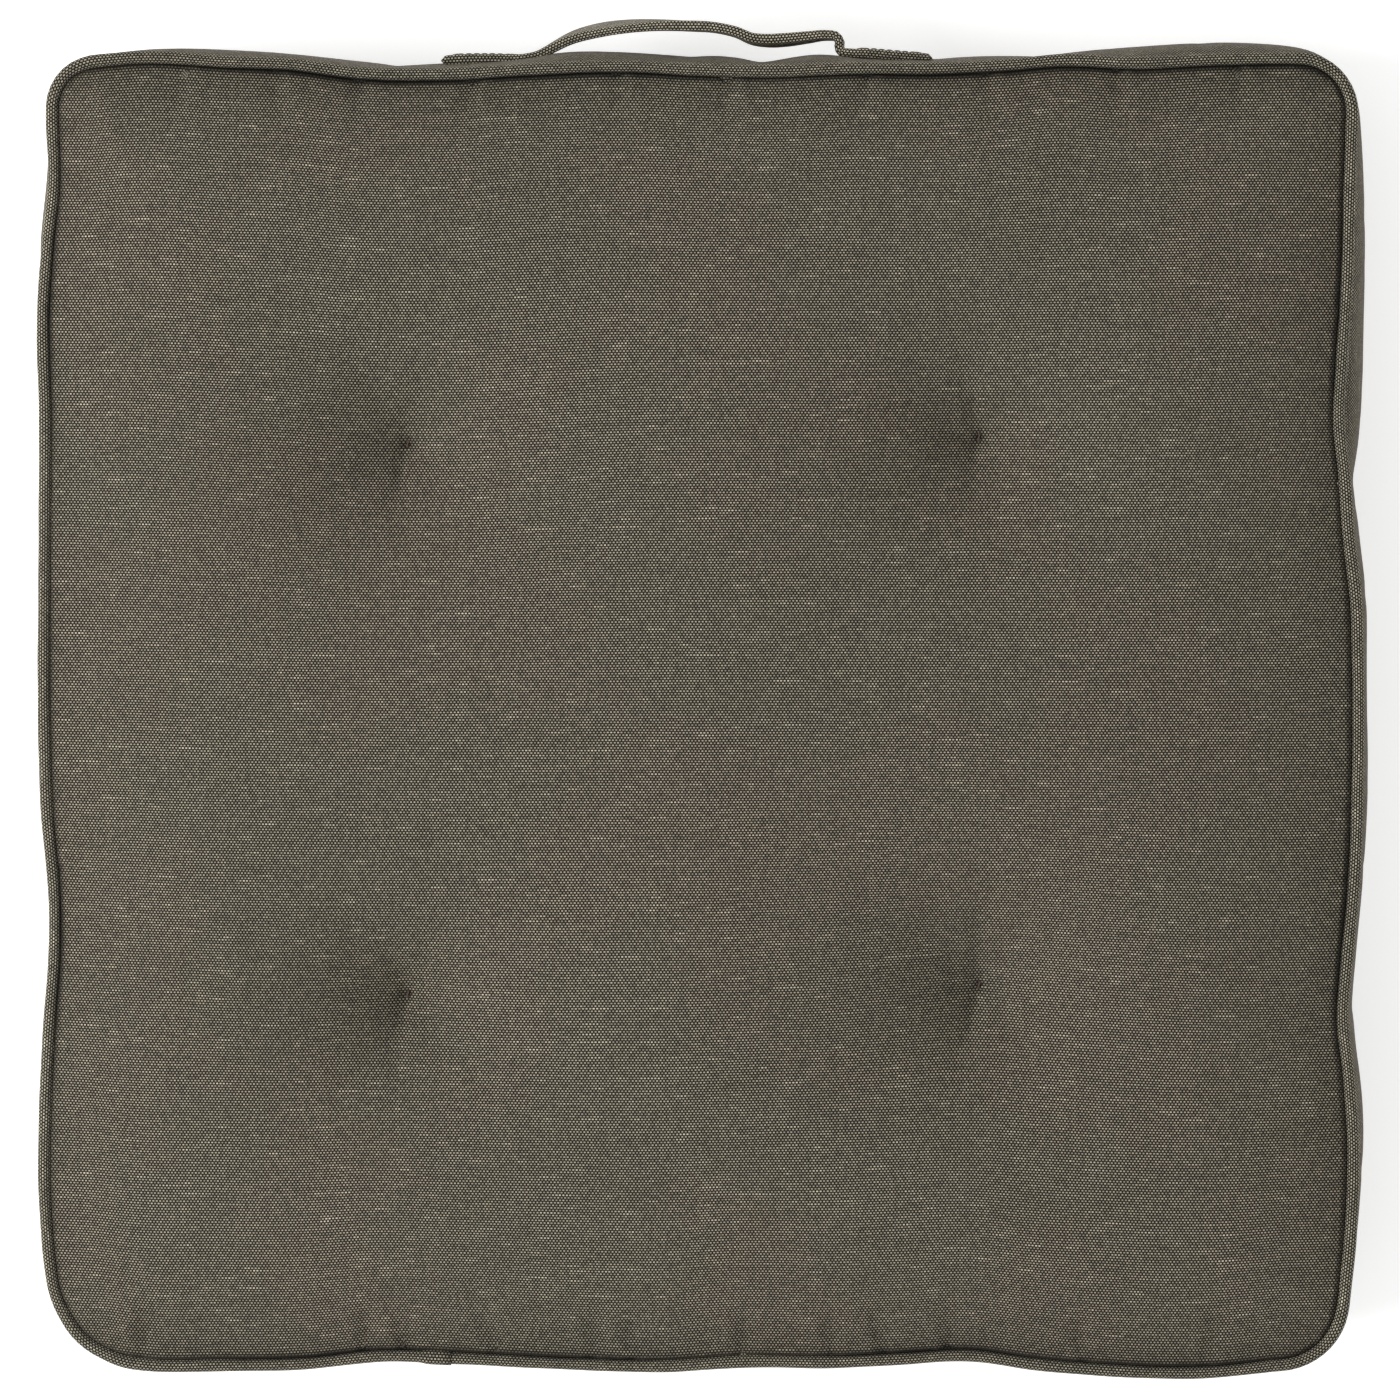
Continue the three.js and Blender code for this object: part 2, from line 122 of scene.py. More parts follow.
# %% The four sides' sway and the corners' roundness
def through(points):
    """A smooth curve through (place, amount) points given in millimetres, for numbers in metres."""
    at, amount = np.array(points, float).T * MM
    slope = np.gradient(amount, at)

    def curve(x):
        x = np.clip(x, at[0], at[-1])
        i = np.clip(np.searchsorted(at, x) - 1, 0, len(at) - 2)
        step = at[i + 1] - at[i]
        t = (x - at[i]) / step
        start = amount[i] * (1 + 2 * t) * (1 - t) ** 2 + slope[i] * step * t * (1 - t) ** 2
        end = amount[i + 1] * t * t * (3 - 2 * t) + slope[i + 1] * step * t * t * (t - 1)
        return start + end

    return curve


LEFT_SWAY = through([
    (-232, -2.0), (-209, 1.0), (-186, 2.4), (-150, 1.8), (-116, -0.1), (-93, -1.9), (-70, -2.0),
    (-40, 0.4), (0, 1.4), (60, 0.8), (113, 0.2), (155, 0.8), (182, -1.4), (204, -3.8), (227, -3.2),
])
RIGHT_SWAY = through([
    (-227, -1.0), (-195, 1.8), (-165, 2.4), (-139, 0.6), (-116, -1.9), (-93, -0.5), (-70, 1.6),
    (-24, 3.2), (22, 2.9), (45, 2.0), (68, -0.8), (90, -2.5), (113, -4.9), (136, -3.9),
    (170, -2.0), (204, -1.3), (230, -0.6),
])
BACK_SWAY = through([
    (-236, -0.2), (-213, 1.6), (-180, -0.1), (-155, -1.2), (-130, -4.4), (-98, -5.0), (-60, -3.0),
    (-29, -2.0), (0, -3.3), (25, -3.9), (60, -2.8), (95, -2.9), (120, -1.6), (140, 0.1),
    (165, -1.0), (199, 0.4), (222, 0.8),
])
FRONT_SWAY = through([
    (-230, 1.0), (-212, 3.1), (-185, 3.0), (-153, 2.3), (-120, -1.1), (-95, -0.5), (-49, 1.5),
    (-14, 2.1), (20, -0.1), (55, 0.0), (79, -1.3), (106, -2.8), (130, 0.2), (155, 2.2),
    (200, 2.8), (224, 0.0),
])
TOP_SWAY = {"left": LEFT_SWAY, "right": RIGHT_SWAY, "back": BACK_SWAY, "front": FRONT_SWAY}
# The bottom seam sways a little less, and not in step with the top one.
BOTTOM_SWAY = {
    side: (lambda x, curve=curve: 0.6 * curve(0.9 * x + 9 * MM)) for side, curve in TOP_SWAY.items()
}
ROUNDING = {(-1, 1): 15 * MM, (1, 1): 18 * MM, (1, -1): 23 * MM, (-1, -1): 28 * MM}


def round_corners(plan, half):
    """Turns each square corner of a plan into its own arc."""
    plan = plan.copy()
    for (sx, sy), radius in ROUNDING.items():
        inner = half - radius
        away = plan * (sx, sy) - inner
        corner = (away > 0).all(axis=1)
        part = away[corner]
        part *= (part.max(axis=1) / np.hypot(*part.T))[:, None]
        plan[corner] = (part + inner) * (sx, sy)
    return plan


def sewn_plan(plan, half, sway):
    """Where the points of a flat panel lie in plan once its edge is sewn."""
    x, y = round_corners(plan, half).T * (HALF / half)
    right, left = np.clip(x / HALF, 0, 1) ** 3, np.clip(-x / HALF, 0, 1) ** 3
    back, front = np.clip(y / HALF, 0, 1) ** 3, np.clip(-y / HALF, 0, 1) ** 3
    across = sway["right"](y) * right - sway["left"](y) * left
    along = sway["back"](x) * back - sway["front"](x) * front
    return np.column_stack([x + across, y + along])


def seam_lift(plan):
    """The seams also wave gently up and down."""
    x, y = plan.T
    wave = np.sin(x / 0.037 + 1.3) + np.sin(y / 0.041 + 0.4) + 0.7 * np.sin((x - y) / 0.019)
    return 0.45 * MM * wave


# %% [markdown]
# ## The seam's route
# The piping, the boxing and the stitches all follow one line round the cushion. It is measured
# out here as even steps, so that anything can be laid along it by its length.

# %% Walking round the seam
class Route:
    """A closed line round the cushion in plan, with its length and its outward direction."""

    def __init__(self, sway):
        run = np.arange(-1, 1, 0.004)
        line = np.ones_like(run)
        square = np.concatenate([
            np.column_stack([run, -line]), np.column_stack([line, run]),
            np.column_stack([-run, line]), np.column_stack([-line, -run]),
        ])
        ring = sewn_plan(square * HALF, HALF, sway)
        ring = np.vstack([ring, ring[:1]])
        self.s = np.concatenate([[0], np.cumsum(np.hypot(*np.diff(ring, axis=0).T))])
        self.ring = ring
        self.length = self.s[-1]
        self.corners = [self.s[k * len(run)] for k in range(4)] + [self.length]

    def at(self, s):
        """Plan points at these distances along, and the outward direction at each."""
        here, back, on = (
            np.column_stack([np.interp((s + d) % self.length, self.s, self.ring[:, k]) for k in (0, 1)])
            for d in (0, -3 * MM, 3 * MM)
        )
        run = on - back
        run /= np.hypot(*run.T)[:, None]
        return here, np.column_stack([run[:, 1], -run[:, 0]])


TOP_ROUTE, BOTTOM_ROUTE = Route(TOP_SWAY), Route(BOTTOM_SWAY)
print("seam lengths, m:", round(TOP_ROUTE.length, 4), round(BOTTOM_ROUTE.length, 4))

# %% [markdown]
# ## Cutting the cloth flat
# Each panel starts as a flat rectangle of small squares. Its flat shape is kept twice: as the rest
# length of the cloth for the simulation, and as the UV map in metres, so that the woven threads
# run straight in the cut piece and bend only where the cloth itself bends.

# %% A flat piece of cloth
def cut_cloth(name, columns, rows, facing=1):
    """A grid from -1 to 1 each way, and its points in that square."""
    pick()
    bpy.ops.mesh.primitive_grid_add(x_subdivisions=columns, y_subdivisions=rows, size=2)
    piece = bpy.context.object
    piece.name = piece.data.name = name
    if facing < 0:
        pick(piece)
        bpy.ops.object.mode_set(mode="EDIT")
        bpy.ops.mesh.select_all(action="SELECT")
        bpy.ops.mesh.flip_normals()
        bpy.ops.object.mode_set(mode="OBJECT")
    return piece, points_of(piece.data)[:, :2]


def mark_cloth(piece, flat):
    """Writes the flat shape into the UV map, in metres."""
    layer = piece.data.uv_layers.active or piece.data.uv_layers.new(name="cloth")
    layer.name = "cloth"
    corner = np.empty(len(piece.data.loops), np.int32)
    piece.data.loops.foreach_get("vertex_index", corner)
    layer.data.foreach_set("uv", np.asarray(flat[corner, :2], np.float32).ravel())


# %% [markdown]
# ## Sewing and filling
# Canvas over loose fibre takes its shape from three things: its flat cut, the stitches that hold
# it, and the filling that pushes it out. Blender's Cloth has all three. The sewn edge and the
# tufts are pinned, the flat cut is the rest shape, and pressure stands in for the fibre. How far
# a point may move is capped, so that every run gives the same well-behaved cushion.

# %% Sewing one piece
PRESSURE = 4.0
FRAMES = 20
sewing = []  # every piece that waits for the filling, with its sewn shape and its cap


def sew(piece, flat, sewn, held, cap):
    """Lays a piece flat, keeps that as its rest shape, and pins its held points where they are sewn."""
    place_points(piece.data, np.column_stack([flat, np.zeros(len(flat))]))
    mark_cloth(piece, flat)
    rest = piece.shape_key_add(name="flat")
    key = piece.shape_key_add(name="sewn")
    key.data.foreach_set("co", np.asarray(sewn, np.float32).ravel())
    key.value = 1
    group = piece.vertex_groups.new(name="held")
    group.add([int(i) for i in np.flatnonzero(held)], 1.0, "REPLACE")
    cloth = piece.modifiers.new("Cloth", "CLOTH")
    cloth.settings.quality = 6
    cloth.settings.mass = 0.3
    cloth.settings.tension_stiffness = 30
    cloth.settings.compression_stiffness = 12
    cloth.settings.shear_stiffness = 10
    cloth.settings.bending_stiffness = 0.4
    cloth.settings.air_damping = 2
    cloth.settings.vertex_group_mass = "held"
    cloth.settings.rest_shape_key = rest
    cloth.settings.use_pressure = True
    cloth.settings.uniform_pressure_force = PRESSURE
    cloth.settings.effector_weights.gravity = 0
    cloth.collision_settings.use_collision = False
    cloth.point_cache.frame_start = 1
    cloth.point_cache.frame_end = FRAMES
    sewing.append((piece, sewn, cap))


def fill_all():
    """Runs the filling for every sewn piece at once, and keeps the result in the meshes."""
    for number in range(1, FRAMES + 1):
        bpy.context.scene.frame_set(number)
    for piece, sewn, cap in sewing:
        pick(piece)
        bpy.ops.object.convert(target="MESH")
        moved = points_of(piece.data) - sewn
        far = np.maximum(np.linalg.norm(moved, axis=1), 1e-9)
        place_points(piece.data, sewn + moved * (cap * np.tanh(far / cap) / far)[:, None])
        most, mean = far.max() / MM, far.mean() / MM
        print(f"{piece.name}: filling moved it {most:.1f} mm at most, {mean:.1f} on average")
    bpy.context.scene.frame_set(1)


# %% [markdown]
# ## The tufts
# A tuft is a loop of thread pulled right through the cushion and knotted. It draws the top and
# the underside towards each other, and the cloth round it runs in as a soft funnel with folds.

# %% Where the tufts are
TUFTS = {}
TUFT_PULL = {
    "back_left": (-3.1, -3.6), "back_right": (0, -0.6),
    "front_left": (-3.7, -1.9), "front_right": (0.6, 2.7),
}
for place, pull in TUFT_PULL.items():
    low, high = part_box("tuft_tie_" + place)
    TUFTS[place] = (
        np.array([low[0] + high[0], low[1] + high[1]]) / 2, np.array(pull) * MM, low[2], high[2],
    )
STITCH = 3.0 * MM  # the length of a tuft's stitch, along Y


def to_tufts(plan):
    """Shifts a plan a little round each tuft, because no tuft sits quite on its mark."""
    plan = plan.copy()
    for mark, pull, _, _ in TUFTS.values():
        away = np.hypot(*(plan - mark).T)
        plan += pull * np.exp(-((away / 0.07) ** 2))[:, None]
    return plan


def tuft_depth(plan, reach, sharpness):
    """1 at a tuft, falling to 0 at its reach."""
    depth = np.zeros(len(plan))
    for mark, _, _, _ in TUFTS.values():
        off = np.abs(plan - mark)
        off[:, 1] = np.maximum(off[:, 1] - STITCH / 2, 0)
        depth = np.maximum(depth, np.clip(1 - np.hypot(*off.T) / reach, 0, 1) ** sharpness)
    return depth


def at_tufts(plan, within):
    return np.min([
        np.hypot(plan[:, 0] - mark[0], np.maximum(np.abs(plan[:, 1] - mark[1]) - STITCH / 2, 0))
        for mark, _, _, _ in TUFTS.values()
    ], axis=0) < within


# %% [markdown]
# ## The two panels
# The top panel is cut a little larger than the outline it is sewn to. That ease is what lets it
# crown and pucker. The underside is sewn the same way, but the floor presses it flat.

# %% Cutting and pinning the panels
EASE = 1.014
SQUARES = 110
SEWN_EDGE = 0.8 * MM  # from the seam's plane to the cloth's outer face where it is stitched


def rise(distance, reach):
    return 1 - (1 - np.clip(distance / reach, 0, 1)) ** 2


def from_edge(grid, reach):
    return rise((1 - np.abs(grid[:, 0])) * HALF, reach) * rise((1 - np.abs(grid[:, 1])) * HALF, reach)


def snap_to_tufts(grid):
    """Moves the grid's lines so that one crosses each tuft's mark."""
    grid = grid.copy()
    for axis in (0, 1):
        mark = abs(next(iter(TUFTS.values()))[0][axis]) / HALF
        line = np.round((mark + 1) * SQUARES / 2) * 2 / SQUARES - 1
        size = np.abs(grid[:, axis])
        grid[:, axis] = np.sign(grid[:, axis]) * np.where(
            size < line, size * mark / line, 1 - (1 - size) * (1 - mark) / (1 - line)
        )
    return grid


def panel(name, facing, sway, height):
    piece, grid = cut_cloth(name, SQUARES, SQUARES, facing)
    border = (np.abs(grid) > 1 - 1e-4).any(axis=1)
    grid = snap_to_tufts(grid)
    flat = round_corners(grid * HALF * EASE, HALF * EASE)
    nominal = round_corners(grid * HALF, HALF)
    plan = to_tufts(sewn_plan(grid * HALF, HALF, sway))
    sewn = np.column_stack([plan, height(grid, nominal) + seam_lift(plan) * (1 - from_edge(grid, 0.06))])
    held = border | at_tufts(nominal, 2.6 * MM)
    return piece, flat, sewn, held


def top_height(grid, nominal):
    crown = 5 * MM * from_edge(grid, 0.022) + (CROWN - TOP_SEAM - 7 * MM) * from_edge(grid, 0.14)
    return TOP_SEAM + SEWN_EDGE + crown - 24 * MM * tuft_depth(nominal, 0.088, 2.3)


def bottom_height(grid, nominal):
    lift = BOTTOM_SEAM - SEWN_EDGE
    return lift * (1 - from_edge(grid, 0.05)) + 14 * MM * tuft_depth(nominal, 0.05, 1.7)


top_panel, flat, sewn, held = panel("cover_top_panel", 1, TOP_SWAY, top_height)
sew(top_panel, flat, sewn, held, cap=14 * MM)
bottom_panel, flat, sewn, held = panel("cover_bottom_panel", -1, BOTTOM_SWAY, bottom_height)
sew(bottom_panel, flat, sewn, held, cap=8 * MM)

# %% [markdown]
# ## The boxing
# Four strips close the sides. Each runs from the middle of one corner to the next, and the fibre
# pushes it out unevenly, so it stands proud of the piping in some places and not in others.

# %% Cutting the four strips
SIDES = ["front", "right", "back", "left"]
STAND = {
    "back": through([
        (-240, 6), (-190, 9), (-138, 7.8), (-116, 6.2), (-90, 6.5), (-70, 7), (-50, 10.2), (-27, 9.2),
        (-3, 8), (11, 9.4), (23, 7), (46, 9.8), (62, 7), (88, 6.6), (110, 7.6), (134, 5.6),
        (158, 9.4), (194, 11.6), (222, 10), (240, 7),
    ]),
    "right": through([
        (-240, 6), (-192, 8.2), (-150, 10.4), (-108, 7.6), (-70, 8.4), (-30, 9.4), (10, 8), (46, 9.4),
        (70, 8.6), (91, 7.8), (104, 11.8), (154, 12.2), (206, 10.4), (240, 7),
    ]),
    "left": through([
        (-240, 6), (-190, 8), (-140, 9), (-95, 7), (-40, 8.6), (20, 9.4), (70, 8.2), (110, 6.8),
        (150, 9), (192, 9.8), (240, 7),
    ]),
    "front": through([
        (-240, 6), (-195, 9), (-150, 8), (-104, 6.4), (-50, 8.8), (10, 7.8), (60, 9), (104, 6.6),
        (150, 8.8), (200, 8), (240, 6),
    ]),
}
BOXING_WIDTH = TOP_SEAM - BOTTOM_SEAM + 3 * MM
ROWS = 14


def boxing(side):
    k = SIDES.index(side)
    piece, grid = cut_cloth("cover_boxing_" + side, SQUARES, ROWS)
    u, t = (grid[:, 0] + 1) / 2, (grid[:, 1] + 1) / 2
    ends = []
    for route in (BOTTOM_ROUTE, TOP_ROUTE):
        start, end = route.corners[k], route.corners[k + 1]
        ends.append((*route.at(start + u * (end - start)), end - start))
    (low, low_out, _), (high, high_out, length) = ends
    t_col = t[:, None]
    plan, out = low + (high - low) * t_col, low_out + (high_out - low_out) * t_col
    along = plan[:, 0] if side in ("front", "back") else plan[:, 1]
    stand = STAND[side](along) * (1 - (2 * t - 1) ** 4) * 0.85
    low_z = BOTTOM_SEAM + SEWN_EDGE + seam_lift(low)
    high_z = TOP_SEAM - SEWN_EDGE + seam_lift(high)
    plan = plan + out * stand[:, None]
    sewn = np.column_stack([plan, low_z + (high_z - low_z) * t])
    flat = np.column_stack([u * length * EASE, t * BOXING_WIDTH])
    held = (np.abs(grid) > 1 - 1e-4).any(axis=1)
    return piece, flat, sewn, held


boxings = {}
for side in SIDES:
    boxings[side], flat, sewn, held = boxing(side)
    sew(boxings[side], flat, sewn, held, cap=4 * MM)

cover = [top_panel, bottom_panel, *boxings.values()]
fill_all()

# %% [markdown]
# ## Folds, puckers and thickness
# The simulation gives the broad shape. The small folds come from the needle: each tuft pulls a few
# sharp folds into the cloth round it, and each seam gathers short puckers. They are pressed into
# the mesh after it is subdivided, as a sculptor would, and then the cloth gets its thickness.

# %% Pressing folds into cloth
def press_fold(points, start, end, width, depth):
    """A soft groove from start to end in plan, deepest a third of the way along."""
    start, end = np.array(start), np.array(end)
    run = end - start
    length = np.hypot(*run)
    run = run / length
    off = points[:, :2] - start
    t = np.clip(off @ run / length, -0.15, 1.15)
    side = off @ np.array([-run[1], run[0]]) + 0.12 * length * (t - 0.4) ** 2
    rising = np.sin((t + 0.15) / 0.45 * math.pi / 2)
    falling = np.cos((t - 0.3) / 0.85 * math.pi / 2)
    swell = np.where(t < 0.3, rising, falling)
    wide = width * (0.6 + 0.8 * np.clip(t, 0, 1))
    inside = (t > -0.149) & (t < 1.149)
    groove = np.exp(-((side / wide) ** 2)) - 0.45 * np.exp(-(((side - 1.9 * wide) / wide) ** 2))
    return np.where(inside, -depth * np.clip(swell, 0, 1) * groove, 0)


def finish_cloth(piece, folds=(), lift=1):
    """Subdivides once, and presses the folds in along Z."""
    pick(piece)
    modifier = piece.modifiers.new("finer", "SUBSURF")
    modifier.levels = modifier.render_levels = 1
    apply_all(piece)
    points = points_of(piece.data)
    for fold in folds:
        points[:, 2] += lift * press_fold(points, *fold)
    place_points(piece.data, points)


def thicken(piece, thickness):
    """Adds the thickness on the inner side."""
    modifier = piece.modifiers.new("thickness", "SOLIDIFY")
    modifier.thickness, modifier.offset = thickness, -1
    apply_all(piece)
    smooth(piece)


# %% [markdown]
# The folds' places: round each tuft a few long ones and some short, none at even angles. Along
# the seams the puckers stand at right angles to the piping, most of them in the front.

# %% The folds of the top panel
def round_tufts(seed, depth, reach):
    chance = np.random.default_rng(seed)
    folds = []
    for mark, pull, _, _ in TUFTS.values():
        centre = mark + pull
        angle = chance.uniform(0, 2 * math.pi)
        for _ in range(7):
            angle += chance.uniform(0.6, 1.2)
            way = np.array([math.cos(angle), math.sin(angle)])
            length = reach * chance.uniform(0.45, 1.0)
            start, end = centre + way * 2 * MM, centre + way * length
            folds.append((start, end, chance.uniform(3.0, 5.0) * MM, depth * chance.uniform(0.5, 1.0)))
    return folds


def puckers(marks, side, length, depth):
    """Short folds in from a seam: marks are (place along the side, slant) in millimetres."""
    folds = []
    for place, slant in marks:
        edge = HALF - 1 * MM
        start = {"front": (place * MM, -edge), "back": (place * MM, edge),
                 "left": (-edge, place * MM), "right": (edge, place * MM)}[side]
        inward = {"front": (slant, 1), "back": (slant, -1), "left": (1, slant), "right": (-1, slant)}[side]
        end = np.array(start) + np.array(inward) * length
        folds.append((start, end, 3.4 * MM, depth))
    return folds


FRONT_PUCKERS = [
    (-214, 0.2), (-128, 0.1), (-112, -0.1), (-75, -0.5), (-40, 0.1), (-24, 0),
    (18, 0.1), (52, 0), (72, -0.1), (96, 0.2), (150, -0.2), (196, 0.3),
]
BACK_PUCKERS = [
    (-194, -0.3), (-160, 0.1), (-128, 0), (-84, -0.2), (-30, 0.1), (12, 0),
    (66, -0.2), (110, 0.2), (160, 0.1), (205, 0.2),
]
SIDE_PUCKERS = [
    (-190, 0.2), (-128, -0.2), (-60, 0.1), (14, 0), (88, 0.2), (160, -0.2),
]

top_folds = round_tufts(3, 0.9 * MM, 0.055)
for mark, pull, _, _ in TUFTS.values():
    middle = mark + pull
    top_folds += [
        (middle, middle + (-4 * MM, -24 * MM), 2.6 * MM, 1.5 * MM),
        (middle, middle + (-2 * MM, 15 * MM), 2.4 * MM, 0.9 * MM),
    ]
top_folds += puckers(FRONT_PUCKERS, "front", 18 * MM, 1.5 * MM)
top_folds += puckers(BACK_PUCKERS, "back", 20 * MM, 1.3 * MM)
top_folds += puckers(SIDE_PUCKERS, "left", 14 * MM, 0.6 * MM)
top_folds += puckers(SIDE_PUCKERS, "right", 14 * MM, 0.6 * MM)
finish_cloth(top_panel, top_folds)
finish_cloth(bottom_panel, round_tufts(8, 1.0 * MM, 0.045), lift=-1)
under = points_of(bottom_panel.data)
under[:, 2] = np.maximum(under[:, 2], 0)
place_points(bottom_panel.data, under)
for side in SIDES:
    finish_cloth(boxings[side])
print("top panel has", len(top_panel.data.polygons), "faces")

# %% [markdown]
# ## The filling
# Under the cover is loose fibre, which takes the cover's own shape. So the filling starts as a
# block, and every point of it is sent out from the middle until it lies just under the cloth.
# Each tuft's thread runs through it in a channel.

# %% Growing the filling to the cover
def cover_tree():
    corners, faces = [], []
    for piece in cover:
        faces += [[len(corners) + i for i in face.vertices] for face in piece.data.polygons]
        corners += [tuple(p) for p in points_of(piece.data)]
    return BVHTree.FromPolygons([Vector(c) for c in corners], faces)


def sink_at_tufts(filling, tree, middle):
    """Lets the fibre sink deeper round each tuft, where the twine draws it together."""
    points = points_of(filling.data)
    for mark, pull, _, _ in TUFTS.values():
        away = np.hypot(*(points[:, :2] - (mark + pull)).T)
        for i in np.flatnonzero(away < 0.04):
            x, y, z = points[i]
            side = 1 if z > middle else -1
            hit, _, _, _ = tree.ray_cast(Vector((x, y, middle)), Vector((0, 0, side)))
            gap = 3 * MM + 5 * MM * math.exp(-((away[i] / 0.012) ** 2))
            if hit is not None:
                points[i, 2] = side * min(side * z, side * hit[2] - gap)
    place_points(filling.data, points)


def make_filling():
    pick()
    middle = (BOTTOM_SEAM + TOP_SEAM) / 2
    bpy.ops.mesh.primitive_cube_add(size=2, location=(0, 0, middle), scale=(HALF, HALF, 0.03))
    filling = bpy.context.object
    filling.name = filling.data.name = "fibre_filling"
    bpy.ops.object.transform_apply(location=True, scale=True)
    bpy.ops.object.mode_set(mode="EDIT")
    bpy.ops.mesh.select_all(action="SELECT")
    bpy.ops.mesh.bevel(offset=0.02, segments=3)
    bpy.ops.object.mode_set(mode="OBJECT")
    filling.data.remesh_voxel_size = 6 * MM
    bpy.ops.object.voxel_remesh()
    tree = cover_tree()
    points = points_of(filling.data)
    for i, point in enumerate(points):
        core = Vector((point[0] * 0.86, point[1] * 0.86, middle))
        way = (Vector(point) - core).normalized()
        hit, _, _, away = tree.ray_cast(core, way)
        if hit is not None:
            points[i] = core + way * (away - 2.5 * MM)
    place_points(filling.data, points)
    modifier = filling.modifiers.new("even", "SMOOTH")
    modifier.iterations = 2
    apply_all(filling)
    sink_at_tufts(filling, tree, middle)
    for mark, pull, _, _ in TUFTS.values():
        pick()
        x, y = mark + pull
        bpy.ops.mesh.primitive_cylinder_add(
            vertices=12, radius=3.4 * MM, depth=0.2, location=(x, y, middle))
        tool = bpy.context.object
        modifier = filling.modifiers.new("channel", "BOOLEAN")
        modifier.object, modifier.solver = tool, "EXACT"
        apply_all(filling)
        bpy.data.objects.remove(tool)
    smooth(filling)
    return filling


filling = make_filling()
print("filling has", len(filling.data.polygons), "faces")

# %% [markdown]
# ## Thickness and turned edges
# Only now do the panels get their thickness, on the inner side. The sewn edges first turn in
# under the piping, as seam allowances do, so that no gap shows the inside.

# %% Turning the edges in
def turn_in(piece, inward, drop):
    """Extrudes the open edge and moves it in towards the middle."""
    pick(piece)
    bpy.ops.object.mode_set(mode="EDIT")
    bpy.ops.mesh.select_mode(type="VERT")
    bpy.ops.mesh.select_all(action="DESELECT")
    bpy.ops.mesh.select_non_manifold()
    bpy.ops.mesh.extrude_region_move()
    bpy.ops.transform.resize(value=(inward, inward, 1), center_override=(0, 0, 0))
    bpy.ops.transform.translate(value=(0, 0, drop))
    bpy.ops.object.mode_set(mode="OBJECT")


turn_in(top_panel, 0.98, -0.2 * MM)
turn_in(bottom_panel, 0.98, 0.2 * MM)
for piece in cover:
    thicken(piece, 0.7 * MM)

# %% [markdown]
# ## Piping
# Piping is a strip of the same canvas folded round a cord and caught in the seam. The strip is a
# long flat grid again. It is rolled round the cord in section and laid along the seam's route, so
# its threads follow the seam. Its last centimetre laps over its start.

# %% Laying a strip along the seam
def along_seam(route, s, outward, up, height):
    here, out = route.at(s)
    return np.column_stack([here + out * outward[:, None], height + seam_lift(here) + up])


def bead_section(steps):
    """The folded strip's section, as distances across it and its (outward, up) points."""
    turn = np.radians(np.linspace(168, -168, steps))
    bead = np.column_stack([BEAD_OUT + BEAD * np.cos(turn), BEAD * np.sin(turn)])
    neck = 0.5 * MM
    section = np.vstack([[-8 * MM, neck], [-0.3 * MM, neck], bead, [-0.3 * MM, -neck], [-8 * MM, -neck]])
    across = np.concatenate([[0], np.cumsum(np.hypot(*np.diff(section, axis=0).T))])
    return across, section


JOINT_X = -105 * MM
LAP = 10 * MM


def joint_place(route):
    front = route.ring[:, 1] < -0.9 * HALF
    return route.s[np.argmin(np.abs(route.ring[:, 0] - JOINT_X) + ~front)]


def piping_cover(name, route, height):
    steps = 18
    across, section = bead_section(steps)
    columns = round((route.length + LAP) / (3 * MM))
    piece, grid = cut_cloth(name, columns, len(section) - 1, -1)
    row = np.round((grid[:, 1] + 1) / 2 * (len(section) - 1)).astype(int)
    run = (grid[:, 0] + 1) / 2 * (route.length + LAP)
    over = np.clip((run - route.length) / (2 * MM) + 0.5, 0, 1)
    lumps = 1 + 0.025 * np.sin(run / 0.0046) + 0.03 * np.sin(run / 0.021 + 2) + 0.2 * over
    outward, up = section[row].T
    bead = (outward > 0).astype(float)
    centre = BEAD_OUT * bead
    outward = centre + (outward - centre) * np.where(bead > 0, lumps, 1)
    up = up * lumps
    place_points(piece.data, along_seam(route, run + joint_place(route), outward, up, height))
    mark_cloth(piece, np.column_stack([run, across[row]]))
    thicken(piece, 0.4 * MM)
    return piece, across[-1]


cover_top, strip_width = piping_cover("piping_cover_upper", TOP_ROUTE, TOP_SEAM)
cover_bottom, _ = piping_cover("piping_cover_lower", BOTTOM_ROUTE, BOTTOM_SEAM)
print("piping strip is cut", round(strip_width, 4), "m wide")

# %% [markdown]
# ## Cords and threads
# The cord in the piping, the seam stitches and the corner stitches are all round strands along a
# line. A curve with a round bevel makes each one, and is then turned into a mesh.

# %% A strand along a line
def strand(name, line, radius, closed=False, sides=2):
    data = bpy.data.curves.new(name, "CURVE")
    data.dimensions, data.bevel_depth, data.bevel_resolution = "3D", radius, sides
    data.use_fill_caps = not closed
    spline = data.splines.new("POLY")
    spline.points.add(len(line) - 1)
    spline.points.foreach_set("co", np.column_stack([line, np.ones(len(line))]).astype(np.float32).ravel())
    spline.use_cyclic_u = closed
    piece = bpy.data.objects.new(name, data)
    bpy.context.scene.collection.objects.link(piece)
    pick(piece)
    bpy.ops.object.convert(target="MESH")
    smooth(piece)
    return bpy.context.object


def ring_line(route, height, outward, up, step, gap):
    run = np.arange(gap, route.length - gap, step)
    start = joint_place(route)
    return along_seam(route, run + start, np.full(len(run), outward), np.full(len(run), up), height)


